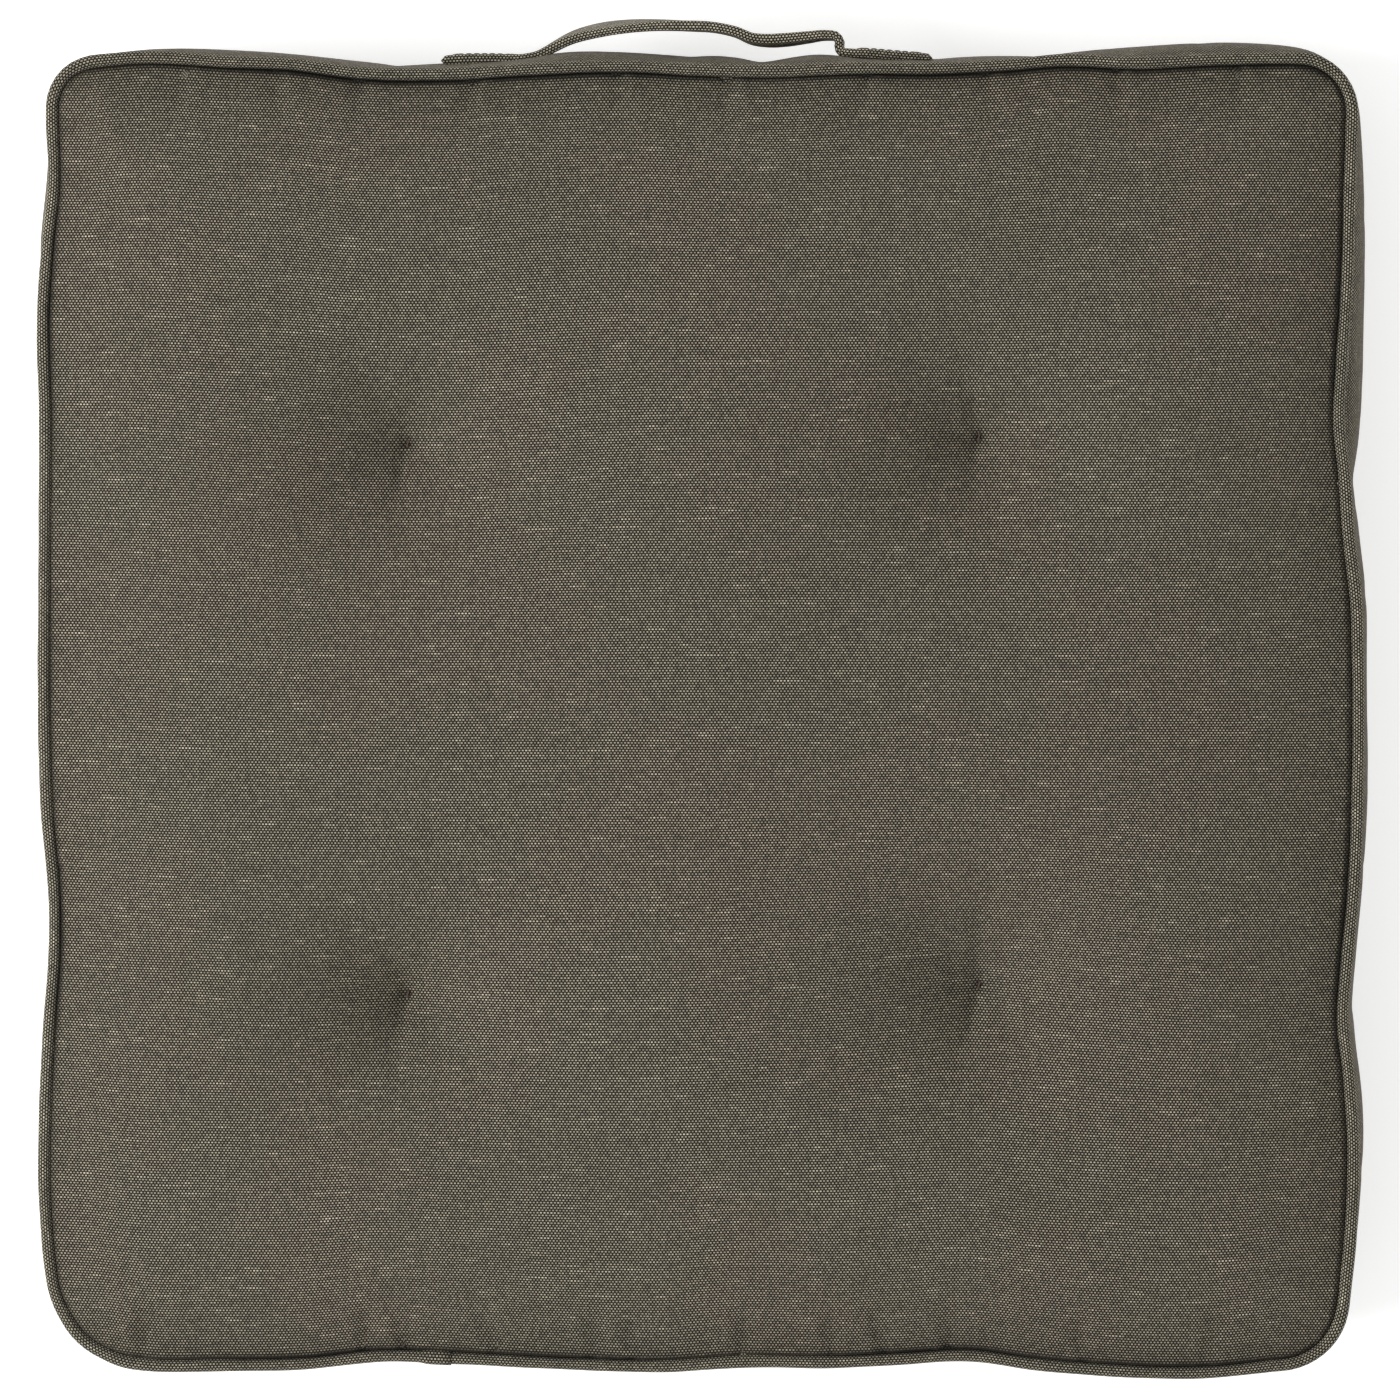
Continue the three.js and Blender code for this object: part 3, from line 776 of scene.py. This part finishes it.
CORD = 1.3 * MM
cords = {
    name: strand(name, ring_line(route, height, BEAD_OUT, 0, 5 * MM, 1 * MM), CORD)
    for name, route, height in [
        ("piping_cord_upper", TOP_ROUTE, TOP_SEAM),
        ("piping_cord_lower", BOTTOM_ROUTE, BOTTOM_SEAM),
    ]
}
THREAD = 0.3 * MM
seam_threads = {
    name: strand(name, ring_line(route, height, -2 * MM, up, 6 * MM, 1 * MM), THREAD)
    for name, route, height, up in [
        ("seam_stitches_upper", TOP_ROUTE, TOP_SEAM, -2.2 * MM),
        ("seam_stitches_lower", BOTTOM_ROUTE, BOTTOM_SEAM, 2.2 * MM),
    ]
}
corner_names = ["front_left", "front_right", "back_right", "back_left"]
corner_threads = {}
for k, corner in enumerate(corner_names):
    here, out = TOP_ROUTE.at(np.array([TOP_ROUTE.corners[k]]))
    inner = here[0] - out[0] * 3 * MM
    heights = np.linspace(BOTTOM_SEAM + 4 * MM, TOP_SEAM - 4 * MM, 12)
    line = np.column_stack([np.tile(inner, (12, 1)), heights])
    corner_threads[corner] = strand("corner_stitches_" + corner, line, THREAD)

# %% [markdown]
# ## The handle
# The handle is one strap of canvas folded to a flat tube, sewn down at both ends. Between them it
# stands off in a slack bow with one sharp fold, where it was once pressed against the side. It is
# laid along its own line in plan, and its upper edge leans out where the bow is highest. The line is
# given in millimetres, so it doesn't follow the plain strap in Y.

# %% The strap's line
STRAP_LINE = np.array([
    (-99.5, 250.4), (-92, 250.8), (-80, 251.0), (-69, 251.2), (-62.5, 252.6), (-57, 255.6), (-50, 259.2),
    (-39, 262.3), (-30, 263.6), (-19, 264.2), (-6, 263.9), (6, 263.2), (14, 261.4), (20, 258.9),
    (26, 258.2), (33, 258.5), (42, 259.5), (49, 260.2), (52.6, 259.6), (53.8, 257.8), (53.7, 255.6),
    (54.4, 253.8), (57.5, 253.2), (64, 253.0), (74, 252.2), (82, 251.6), (89.5, 251.2),
]) * MM


def finely(line, step):
    """The line again as a smooth run of even steps."""
    along = np.concatenate([[0], np.cumsum(np.hypot(*np.diff(line, axis=0).T))])
    fine = np.linspace(0, along[-1], round(along[-1] / step) + 1)
    columns = []
    for k in range(line.shape[1]):
        bend = through(np.column_stack([along, line[:, k]]) / MM)
        columns.append(bend(fine))
    return fine, np.column_stack(columns)


strap_low, strap_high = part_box("handle_loop")
STRAP_MIDDLE = (strap_low[2] + strap_high[2]) / 2
STRAP_HALF = (strap_high[2] - strap_low[2]) / 2
STRAP_THICK = 2.25 * MM
strap_run, strap_plan = finely(STRAP_LINE, 1.5 * MM)
strap_way = np.gradient(strap_plan, axis=0)
strap_way /= np.hypot(*strap_way.T)[:, None]
strap_out = np.column_stack([-strap_way[:, 1], strap_way[:, 0]])
lean = 0.16 * np.exp(-(((strap_plan[:, 0] + 0.036) / 0.022) ** 2))
lean -= 0.05 * np.exp(-(((strap_plan[:, 0] - 0.03) / 0.015) ** 2))
print("strap is", round(strap_run[-1], 4), "m long")


# %% Rolling the strap
def strap_section(steps):
    """Round the flat tube: across it from one edge to the other and back."""
    turn = np.linspace(0, 2 * math.pi, steps + 1)[:-1]
    flat = STRAP_HALF - STRAP_THICK
    up = np.sign(np.sin(turn)) * np.abs(np.sin(turn)) ** 0.55 * STRAP_HALF
    out = np.sign(np.cos(turn)) * np.abs(np.cos(turn)) ** 0.4 * STRAP_THICK
    pinch = 1 - 0.22 * np.cos(up / flat * math.pi / 2 * 0.9)
    return out * pinch, up


def make_strap():
    out, up = strap_section(32)
    out, up = np.append(out, out[0]), np.append(up, up[0])
    around = np.concatenate([[0], np.cumsum(np.hypot(np.diff(out), np.diff(up)))])
    piece, grid = cut_cloth("handle_strap", len(strap_run) - 1, len(out) - 1)
    col = np.round((grid[:, 0] + 1) / 2 * (len(strap_run) - 1)).astype(int)
    row = np.round((grid[:, 1] + 1) / 2 * (len(out) - 1)).astype(int)
    run = strap_run[col]
    end = np.minimum(run, strap_run[-1] - run)
    taper = np.sqrt(np.clip(1 - np.clip(1 - end / (2.5 * MM), 0, 1) ** 2, 0.02, 1))
    wave = 1 + 0.05 * np.sin(run / 0.0066) + 0.05 * np.sin(run / 0.017 + 1)
    o = out[row] * wave * taper
    u = up[row] * (0.94 + 0.06 * taper)
    o, u = o * np.cos(lean[col]) - u * np.sin(lean[col]), o * np.sin(lean[col]) + u * np.cos(lean[col])
    plan = strap_plan[col] + strap_out[col] * o[:, None]
    rock = 0.5 * MM * np.sin(run / 0.03 + 0.5)
    place_points(piece.data, np.column_stack([plan, STRAP_MIDDLE + u + rock]))
    mark_cloth(piece, np.column_stack([run, around[row]]))
    pick(piece)
    bpy.ops.object.mode_set(mode="EDIT")
    bpy.ops.mesh.select_all(action="SELECT")
    bpy.ops.mesh.remove_doubles(threshold=0.01 * MM)
    bpy.ops.mesh.fill_holes(sides=0)
    bpy.ops.mesh.normals_make_consistent(inside=False)
    bpy.ops.object.mode_set(mode="OBJECT")
    smooth(piece)
    return piece, around[-1]


strap, strap_round = make_strap()
print("strap is", round(strap_round, 4), "m round")

# %% [markdown]
# ## Writing materials as sums
# A woven pattern is arithmetic on the cloth's own threads. So that it reads as arithmetic, a small
# class wraps a socket, and a sum written with it adds the Math nodes.

# %% Sums that build nodes
class Wire:
    """A socket in a material. Sums of wires and numbers add Math nodes."""

    def __init__(self, recipe, socket):
        self.recipe, self.socket = recipe, socket

    def math(self, how, *others):
        return self.recipe.node("ShaderNodeMath", {"operation": how}, self, *others)

    def __add__(self, other):
        return self.math("ADD", other)

    def __sub__(self, other):
        return self.math("SUBTRACT", other)

    def __rsub__(self, other):
        return self.recipe.node("ShaderNodeMath", {"operation": "SUBTRACT"}, other, self)

    def __mul__(self, other):
        return self.math("MULTIPLY", other)

    def __truediv__(self, other):
        return self.math("DIVIDE", other)

    __radd__, __rmul__ = __add__, __mul__

    def between(self, low, high, start=0.0, end=1.0):
        """A smooth step from start to end as the value goes from low to high."""
        setting = {"interpolation_type": "SMOOTHSTEP"}
        return self.recipe.node("ShaderNodeMapRange", setting, self, low, high, start, end)


class Recipe:
    """A material, and the one way in which its nodes are added."""

    def __init__(self, name, rough, specular=0.3):
        self.material = bpy.data.materials.new(name)
        self.material.use_nodes = True
        self.tree = self.material.node_tree
        self.shader = self.tree.nodes["Principled BSDF"]
        self.shader.inputs["Roughness"].default_value = rough
        self.shader.inputs["Specular IOR Level"].default_value = specular

    def node(self, kind, settings, *values, out=0):
        made = self.tree.nodes.new(kind)
        for key, value in settings.items():
            setattr(made, key, value)
        for socket, value in zip(self.open_inputs(made), values):
            if isinstance(value, Wire):
                self.tree.links.new(value.socket, socket)
            elif value is not None:
                socket.default_value = value
        outputs = [o for o in made.outputs if o.enabled]
        return Wire(self, outputs[out])

    @staticmethod
    def open_inputs(made):
        return [socket for socket in made.inputs if socket.enabled]

    def noise(self, where, scale, detail=2.0, rough=0.5):
        return self.node("ShaderNodeTexNoise", {}, where, scale, detail, rough)

    def tint(self, share, first, second):
        """A colour between two others."""
        first, second = (c if isinstance(c, Wire) else (*c, 1) for c in (first, second))
        return self.node("ShaderNodeMix", {"data_type": "RGBA", "clamp_factor": True}, share, first, second)

    def scaled(self, colour, amount):
        grey = self.node("ShaderNodeCombineXYZ", {}, amount, amount, amount)
        return self.node("ShaderNodeVectorMath", {"operation": "MULTIPLY"}, colour, grey)

    def finish(self, colour, height, distance, strength, rough=None):
        self.tree.links.new(colour.socket, self.shader.inputs["Base Color"])
        if rough is not None:
            self.tree.links.new(rough.socket, self.shader.inputs["Roughness"])
        bump = self.node("ShaderNodeBump", {}, strength, distance, None, height)
        self.tree.links.new(bump.socket, self.shader.inputs["Normal"])
        return self.material


# %% [markdown]
# ## The canvas
# It is a plain weave of two colours: thin, close, dark warp and thick pale weft. Wherever a weft
# thread passes over a warp thread, a pale dash shows, and the dashes of one row stand between
# those of the next. No thread is even, so each row, each column and each dash gets its own tone,
# some rows swell into slubs, and the dye drifts slowly from olive to brown.

# %% Plain weave from the threads' own numbers
WARP = 0.667 * MM  # from one warp thread to the next
WEFT = 1.0 * MM  # from one weft thread to the next


def canvas(name, weft, warp, drift=1.0):
    recipe = Recipe(name, rough=0.9, specular=0.15)
    recipe.shader.inputs["Sheen Weight"].default_value = 0.05
    recipe.shader.inputs["Sheen Roughness"].default_value = 0.55
    recipe.shader.inputs["Sheen Tint"].default_value = (0.85, 0.74, 0.58, 1)
    place = recipe.node("ShaderNodeUVMap", {"uv_map": "cloth"})
    wander = recipe.noise(place, 24, 1)
    u, v = (recipe.node("ShaderNodeSeparateXYZ", {}, place, out=k) for k in (0, 1))
    a = (u + wander * (0.9 * MM)) / WARP
    b = (v + wander * (0.7 * MM)) / WEFT
    row, column = b.math("ROUND"), a.math("ROUND")
    cell = recipe.node("ShaderNodeCombineXYZ", {}, row, column, 0.0)
    dash_tone = recipe.node("ShaderNodeTexWhiteNoise", {"noise_dimensions": "2D"}, cell)
    odd = (row * 0.5).math("FRACT").math("ROUND")
    turn = ((a + odd) * math.pi).math("COSINE")
    over = (turn + dash_tone * 0.4).between(-0.35, 0.5)
    across = (b - row).math("ABSOLUTE") * 2
    crown = 1 - across * across
    rib = 1 - ((a - column).math("ABSOLUTE") * 2).math("POWER", 2.0)
    dash = over * crown.between(0.46, 0.97)

    thread = recipe.node("ShaderNodeCombineXYZ", {}, u * 26, row * 3.7, 0.0)
    row_tone = recipe.noise(thread, 1.0, 2, 0.6)
    long_thread = recipe.node("ShaderNodeCombineXYZ", {}, v * 22, column * 2.9, 5.0)
    column_tone = recipe.noise(long_thread, 1.0, 1)
    slub = recipe.node("ShaderNodeCombineXYZ", {}, u * 95, row * 5.3, 9.0)
    slub = recipe.noise(slub, 1.0, 0).between(0.68, 0.8)
    tone = 0.5 + row_tone * 0.5 + dash_tone * 0.4 + slub * 0.6
    # Each warp thread's tone differs at random, and its middle is painted lighter: a painted highlight on
    # the thread's round.
    ground_tone_and_highlight = 0.7 + column_tone * 0.3 + rib * 0.35

    patch = recipe.noise(place, 9, 2, 0.55).between(0.38, 0.62)
    patch_fine = recipe.noise(place, 34, 2, 0.5).between(0.3, 0.7)
    brown, olive, grey = (1.03, 0.99, 0.95), (0.98, 0.995, 0.94), (0.975, 0.98, 1.01)
    dye = recipe.tint(patch * drift, olive, brown)
    dye = recipe.tint(patch_fine * (0.3 * drift), dye, grey)

    pale = recipe.scaled(recipe.tint(dash_tone, weft, (weft[0] * 1.08, weft[1] * 1.06, weft[2])), tone)
    cooler = (warp[0] * 0.9, warp[1], warp[2] * 1.05)
    dark = recipe.scaled(recipe.tint(column_tone, warp, cooler), ground_tone_and_highlight)
    colour = recipe.tint(dash, dark, pale)
    colour = recipe.node("ShaderNodeVectorMath", {"operation": "MULTIPLY"}, colour, dye)
    # Painted shade: the colour loses the share stored on each piece for its creases, tufts and front and
    # back slopes.
    seam = recipe.node("ShaderNodeAttribute", {"attribute_name": "painted_crease_shade"}, out=2)
    colour = recipe.scaled(colour, 1 - seam)
    height = over * crown + (1 - over) * (rib * 0.55) + slub * 0.2
    fuzz = recipe.noise(place, 900, 2)
    return recipe.finish(colour, height + fuzz * 0.3, distance=0.16 * MM, strength=0.55)


panel_canvas = canvas("panel_canvas", weft=(0.345, 0.315, 0.261), warp=(0.0135, 0.0105, 0.0066))
piping_canvas = canvas("piping_canvas", weft=(0.46, 0.425, 0.355), warp=(0.014, 0.011, 0.007), drift=0.5)
strap_canvas = canvas("strap_canvas", weft=(0.57, 0.53, 0.45), warp=(0.014, 0.011, 0.007), drift=0.5)


# %% [markdown]
# Near a seam the cloth turns in, and shade falls in the crease. That shade is painted into the colour: each
# cover piece carries a painted shade as a number at every point, worked out from its distance to the
# nearest seam line. The piping strips carry it too, and it is deeper round the tufts and down the boxing's
# corner seams. The front and back slopes get more of that painted shade than the sides, which darkens the
# colour itself and not the light.

# %% Painted shade in the creases and on the slopes
def cloth_place(piece):
    """Each point's place on its own flat cut, along and across, in metres."""
    mesh = piece.data
    corner = np.empty(len(mesh.loops), np.int32)
    mesh.loops.foreach_get("vertex_index", corner)
    uv = np.empty(len(mesh.loops) * 2, np.float32)
    mesh.uv_layers["cloth"].data.foreach_get("uv", uv)
    run, across = np.zeros(len(mesh.vertices)), np.zeros(len(mesh.vertices))
    run[corner], across[corner] = uv[0::2], uv[1::2]
    return run, across


def from_ends(piece):
    """How far each point of a boxing strip is from the nearer end of the strip."""
    run, _ = cloth_place(piece)
    return np.minimum(run, run.max() - run)


def sink_corner_seams(piece):
    """Draws the boxing in where it is sewn at the cushion's corners."""
    points = points_of(piece.data)
    height = np.clip((points[:, 2] - BOTTOM_SEAM) / (TOP_SEAM - BOTTOM_SEAM), 0, 1)
    inward = -np.sign(points[:, :2]) / math.sqrt(2)
    depth = 1.1 * MM * np.exp(-((from_ends(piece) / (3 * MM)) ** 2)) * np.sin(math.pi * height)
    points[:, :2] += inward * depth[:, None]
    place_points(piece.data, points)


OUTWARD = {"front": (0, -1), "right": (1, 0), "back": (0, 1), "left": (-1, 0)}


def gather_boxing(side, seed):
    """Short slanting gathers in the boxing, in from its top and bottom seams."""
    chance = np.random.default_rng(seed)
    piece = boxings[side]
    points = points_of(piece.data)
    run, across = cloth_place(piece)
    depth = np.zeros(len(points))
    for edge in (across, across.max() - across):
        place = 25 * MM
        while place < run.max() - 25 * MM:
            slant, reach = chance.uniform(-0.4, 0.4), chance.uniform(7, 14) * MM
            off = run - place - slant * edge
            rise = np.clip(edge / (3 * MM), 0, 1) * np.exp(-edge / reach)
            depth += chance.uniform(1.2, 2.8) * MM * rise * np.exp(-((off / (3.6 * MM)) ** 2))
            place += chance.uniform(18, 52) * MM
    points[:, :2] -= np.array(OUTWARD[side]) * depth[:, None]
    place_points(piece.data, points)


for k, side in enumerate(SIDES):
    gather_boxing(side, 40 + k)
    sink_corner_seams(boxings[side])


# How deep the painted shade gets: in a crease, near it, and on the front and back slopes against the sides.
DARKEST = 0.96  # how much of its colour the cloth loses in the crease itself
SOFT_SHADE = 0.2  # and how much about a centimetre out from it
END_SLOPES, SIDE_SLOPES = 1.7, 0.8  # the soft shade's share at the front and back, and at the sides


def seam_lines():
    """Every point of both seam lines, to find the nearest one by."""
    tree = KDTree(len(TOP_ROUTE.ring) * 2)
    for k, (route, height) in enumerate([(TOP_ROUTE, TOP_SEAM), (BOTTOM_ROUTE, BOTTOM_SEAM)]):
        for i, (x, y) in enumerate(route.ring):
            tree.insert((x, y, height), k * len(route.ring) + i)
    tree.balance()
    return tree


def paint_shade(piece, tree):
    """Writes the painted shade at each point, as the share of the cloth's colour that it takes away: in the
    seam creases, down the boxing's corner seams, round the tufts, and more on the front and back slopes.
    """
    points = points_of(piece.data)
    plan = points[:, :2]
    away = np.array([tree.find(point)[2] for point in points])
    # Painted shade in the seam crease and, softer, out from it; the front and back slopes get more than the
    # sides.
    front_or_back = np.abs(plan[:, 1]) > np.abs(plan[:, 0])
    amount = DARKEST * np.exp(-((away / (1.2 * MM)) ** 2))
    amount += SOFT_SHADE * np.where(front_or_back, END_SLOPES, SIDE_SLOPES) * np.exp(-away / (11 * MM))
    # Painted shade down the boxing's corner seams.
    if piece in boxings.values():
        end = from_ends(piece)
        amount += 0.35 * np.exp(-((end / (1.0 * MM)) ** 2)) + 0.08 * np.exp(-end / (7 * MM))
    # Painted shade in each tuft's funnel.
    for mark, pull, _, _ in TUFTS.values():
        off = np.hypot(*(plan - mark - pull).T)
        amount += 0.85 * np.exp(-((off / (1.9 * MM)) ** 2)) + 0.14 * np.exp(-off / (12 * MM))
    # Stored as the painted shade that the canvas takes off its colour.
    layer = piece.data.attributes.new("painted_crease_shade", "FLOAT", "POINT")
    layer.data.foreach_set("value", np.clip(amount, 0, DARKEST).astype(np.float32))


both_seams = seam_lines()
for piece in [*cover, cover_top, cover_bottom]:
    paint_shade(piece, both_seams)


def dress(piece, material, *nodes, slot, body="cushion"):
    """Gives a piece its material and its body, and hides the plain nodes that it stands for. The slot is
    not used.
    """
    piece.data.materials.clear()
    piece.data.materials.append(material)
    if body:
        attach(piece, body)
    if nodes:
        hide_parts(*nodes)


# %% [markdown]
# ## Thread, cord and fibre
# The tufts' twine and the sewing thread are two plies twisted together. The twine is built as two twisted
# plies further down, and these materials give both a fine tangled bump. The cord is soft cotton, and the
# fibre is a white tangle.

# %% Their materials
def spun(name, colour, shine, scale, distance):
    recipe = Recipe(name, rough=0.62, specular=shine)
    place = recipe.node("ShaderNodeTexCoord", {}, out=3)
    tangle = recipe.noise(place, scale, 3, 0.6)
    tone = recipe.noise(place, scale / 7, 1)
    mixed = recipe.tint(tangle, tuple(c * 0.62 for c in colour), tuple(c * 1.3 for c in colour))
    mixed = recipe.scaled(mixed, 0.75 + tone * 0.5)
    return recipe.finish(mixed, tangle, distance=distance, strength=0.8, rough=0.5 + tangle * 0.3)


sewing_thread = spun("sewing_thread", (0.085, 0.07, 0.052), 0.4, 1600, 0.1 * MM)
tuft_twine = spun("tuft_twine", (0.10, 0.062, 0.045), 0.4, 1400, 0.15 * MM)
cotton_cord = spun("cotton_cord", (0.66, 0.61, 0.52), 0.2, 900, 0.3 * MM)
white_fibre = spun("white_fibre", (0.82, 0.81, 0.77), 0.2, 260, 1.5 * MM)

# %% [markdown]
# ## Tufts and stitches
# A tuft's twine goes down one hole and up the next, round both panels. Its knot, which sinks into the
# cloth, is not made here:
# the twine is a closed loop. The handle's ends are held by a box of short machine stitches each.

# %% The tufts' twine
TWINE = 0.42 * MM


def surface_height(piece, x, y, z, way):
    """Where a vertical ray meets a piece."""
    tree = BVHTree.FromObject(piece, bpy.context.evaluated_depsgraph_get())
    hit, _, _, _ = tree.ray_cast(Vector((x, y, z)), Vector((0, 0, way)))
    return hit[2]


def make_tie(place):
    mark, pull, low, high = TUFTS[place]
    x, y = mark + pull
    top = surface_height(top_panel, x, y, 0.2, -1)
    bottom = surface_height(bottom_panel, x, y, -0.1, 1)
    half = STITCH / 2
    turn = np.linspace(0, math.pi, 9)
    sway, rise = 0.25 * MM * np.sin(2 * turn), 0.7 * MM * np.sin(turn)
    over = np.column_stack([sway, half * np.cos(turn), top + 0.3 * MM + rise])
    under = np.column_stack([0 * turn, -half * np.cos(turn), bottom + 0.3 * MM - rise])
    loop = np.vstack([over, under]) + (x, y, 0)
    line = np.vstack([loop, loop[:1]])
    along = np.concatenate([[0], np.cumsum(np.linalg.norm(np.diff(line, axis=0), axis=1))])
    fine = np.arange(0, along[-1], 0.5 * MM)
    line = np.column_stack([np.interp(fine, along, line[:, k]) for k in range(3)])
    plies = []
    for ply in (0, math.pi):
        turn = fine / (1.1 * MM) + ply
        twist = np.column_stack([np.cos(turn), np.sin(turn) * 0.5, np.sin(turn) * 0.5]) * TWINE * 0.6
        plies.append(strand(f"tuft_twine_{place}", line + twist, TWINE * 0.62, closed=True, sides=1))
    pick(*plies)
    bpy.ops.object.join()
    tie = bpy.context.object
    tie.name = tie.data.name = "tuft_twine_" + place
    return tie


ties = {place: make_tie(place) for place in TUFTS}

# %% The handle's stitches
def box_of_stitches(name, from_run, to_run):
    """A row of stitches round a rectangle on the strap's outer face, as one piece."""
    high, wide = 6 * MM, to_run - from_run
    pitch = 2.7 * MM
    edges = []
    corners = [(0, -high), (wide, -high), (wide, high), (0, high), (0, -high)]
    for start, end in zip(corners, corners[1:]):
        start, end = np.array(start), np.array(end)
        count = round(np.hypot(*(end - start)) / pitch)
        way = (end - start) / np.hypot(*(end - start))
        edges += [(start + (end - start) * (i + 0.5) / count, way) for i in range(count)]
    stitches = []
    tree = BVHTree.FromObject(strap, bpy.context.evaluated_depsgraph_get())
    for (run, up), way in edges:
        pick()
        bpy.ops.mesh.primitive_uv_sphere_add(segments=8, ring_count=5, radius=1)
        stitch = bpy.context.object
        k = int(np.argmin(np.abs(strap_run - from_run - run)))
        out = Vector((*strap_out[k], 0))
        along = Vector((*strap_way[k], 0))
        start = Vector((*strap_plan[k], STRAP_MIDDLE + up)) + out * 0.02
        hit, _, _, _ = tree.ray_cast(start, -out)
        length = along * way[0] + Vector((0, 0, way[1]))
        frame_of = Matrix((length, out.cross(length), out)).transposed()
        shaped = points_of(stitch.data) * (1.2 * MM, 0.32 * MM, 0.3 * MM)
        place_points(stitch.data, shaped @ np.array(frame_of).T + np.array(hit + out * 0.12 * MM))
        stitches.append(stitch)
    pick(*stitches)
    bpy.ops.object.join()
    row = bpy.context.object
    row.name = row.data.name = name
    smooth(row)
    return row


stitches_left = box_of_stitches("handle_stitches_left", 4 * MM, 29 * MM)
stitches_right = box_of_stitches("handle_stitches_right", strap_run[-1] - 29 * MM, strap_run[-1] - 4 * MM)
for piece in (stitches_left, stitches_right):
    print(piece.name, "has", len(piece.data.polygons), "faces")

# %% [markdown]
# ## Dressing every piece
# Last, each piece gets its cloth, hides the plain nodes that it stands for, and rides on its body. The
# strap stands for both handle ends and the loop, and rides on no body.

# %% Materials, bodies and flat sizes
dress(top_panel, panel_canvas, "top_panel", slot="cover_canvas")
dress(bottom_panel, panel_canvas, "bottom_panel", slot="cover_canvas")
for side, piece in boxings.items():
    dress(piece, panel_canvas, "boxing_" + side, slot="cover_canvas")
dress(cover_top, piping_canvas, "piping_cover_top", slot="piping_canvas")
dress(cover_bottom, piping_canvas, "piping_cover_bottom", slot="piping_canvas")
dress(cords["piping_cord_upper"], cotton_cord, "piping_cord_top", slot="piping_cord")
dress(cords["piping_cord_lower"], cotton_cord, "piping_cord_bottom", slot="piping_cord")
dress(seam_threads["seam_stitches_upper"], sewing_thread, "seam_thread_top", slot="sewing_thread")
dress(seam_threads["seam_stitches_lower"], sewing_thread, "seam_thread_bottom", slot="sewing_thread")
for corner, piece in corner_threads.items():
    dress(piece, sewing_thread, "corner_seam_thread_" + corner, slot="sewing_thread")
for place, piece in ties.items():
    dress(piece, tuft_twine, "tuft_tie_" + place, slot="tuft_thread")
dress(filling, white_fibre, "filling", slot="fibre_filling")
dress(stitches_left, sewing_thread, "handle_stitching_left", slot="sewing_thread")
dress(stitches_right, sewing_thread, "handle_stitching_right", slot="sewing_thread")
dress(strap, strap_canvas, "handle_end_left", "handle_loop", "handle_end_right",
      slot="strap_canvas", body=None)
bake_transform(strap)

strap_cut = (strap_run[-1], strap_round / 2)  # as it lies when it is folded double

# %% [markdown]
# ## Floor, light and camera
# A pale floor runs out of sight on all sides. A wide soft light hangs over the cushion's left, so
# the right slopes of the tufts catch it and the left ones fall into shade, and the pale
# surroundings fill the rest. The camera looks almost straight down through a long lens.

# %% The floor
FLOOR_GLOW = 0.5  # the floor's own light, which keeps it white


def studio_floor():
    pick()
    bpy.ops.mesh.primitive_grid_add(x_subdivisions=8, y_subdivisions=8, size=12)
    floor = bpy.context.object
    floor.name = "studio_floor"
    material = bpy.data.materials.new("studio_floor")
    material.use_nodes = True
    shader = material.node_tree.nodes["Principled BSDF"]
    shader.inputs["Base Color"].default_value = (0.9, 0.9, 0.9, 1)
    shader.inputs["Roughness"].default_value = 0.9
    shader.inputs["Specular IOR Level"].default_value = 0.1
    shader.inputs["Emission Color"].default_value = (1, 1, 1, 1)
    shader.inputs["Emission Strength"].default_value = FLOOR_GLOW
    material.cycles.emission_sampling = "NONE"
    floor.data.materials.append(material)


studio_floor()

# %% The lights
def soft_light(name, place, aim, size, power):
    lamp = bpy.data.lights.new(name, "AREA")
    lamp.shape, lamp.size, lamp.energy = "DISK", size, power
    light = bpy.data.objects.new(name, lamp)
    light.location = place
    light.rotation_euler = (Vector(aim) - Vector(place)).to_track_quat("-Z", "Y").to_euler()
    bpy.context.scene.collection.objects.link(light)


KEY_POWER = 60
SURROUNDINGS = 0.62  # strength of the pale light from all sides
soft_light("key_light", (-1.9, -0.2, 1.9), (0, 0, 0.05), 1.6, KEY_POWER)

world = bpy.data.worlds.new("studio")
bpy.context.scene.world = world
world.use_nodes = True
world.node_tree.nodes["Background"].inputs["Color"].default_value = (1, 1, 1, 1)
world.node_tree.nodes["Background"].inputs["Strength"].default_value = SURROUNDINGS
bpy.context.scene.view_settings.view_transform = "Standard"

# %% The camera
AIM = Vector((1.5 * MM, 5.8 * MM, TOP_SEAM))
LEAN_X, LEAN_Y = math.radians(2.5), math.radians(4)
DISTANCE = 2.6
FRAME_WIDTH = 0.5362  # of the view at the top seam


def add_camera():
    data = bpy.data.cameras.new("camera")
    data.sensor_width = 36
    data.lens = 36 * DISTANCE / FRAME_WIDTH
    data.clip_end = 60
    camera = bpy.data.objects.new("camera", data)
    away = Vector((math.tan(LEAN_X), math.tan(LEAN_Y), 1)).normalized()
    camera.location = AIM + away * DISTANCE
    right = Vector((0, 1, 0)).cross(away).normalized()
    turn = Matrix((right, away.cross(right), away)).transposed()
    camera.rotation_euler = turn.to_euler()
    bpy.context.scene.collection.objects.link(camera)
    bpy.context.scene.camera = camera


add_camera()
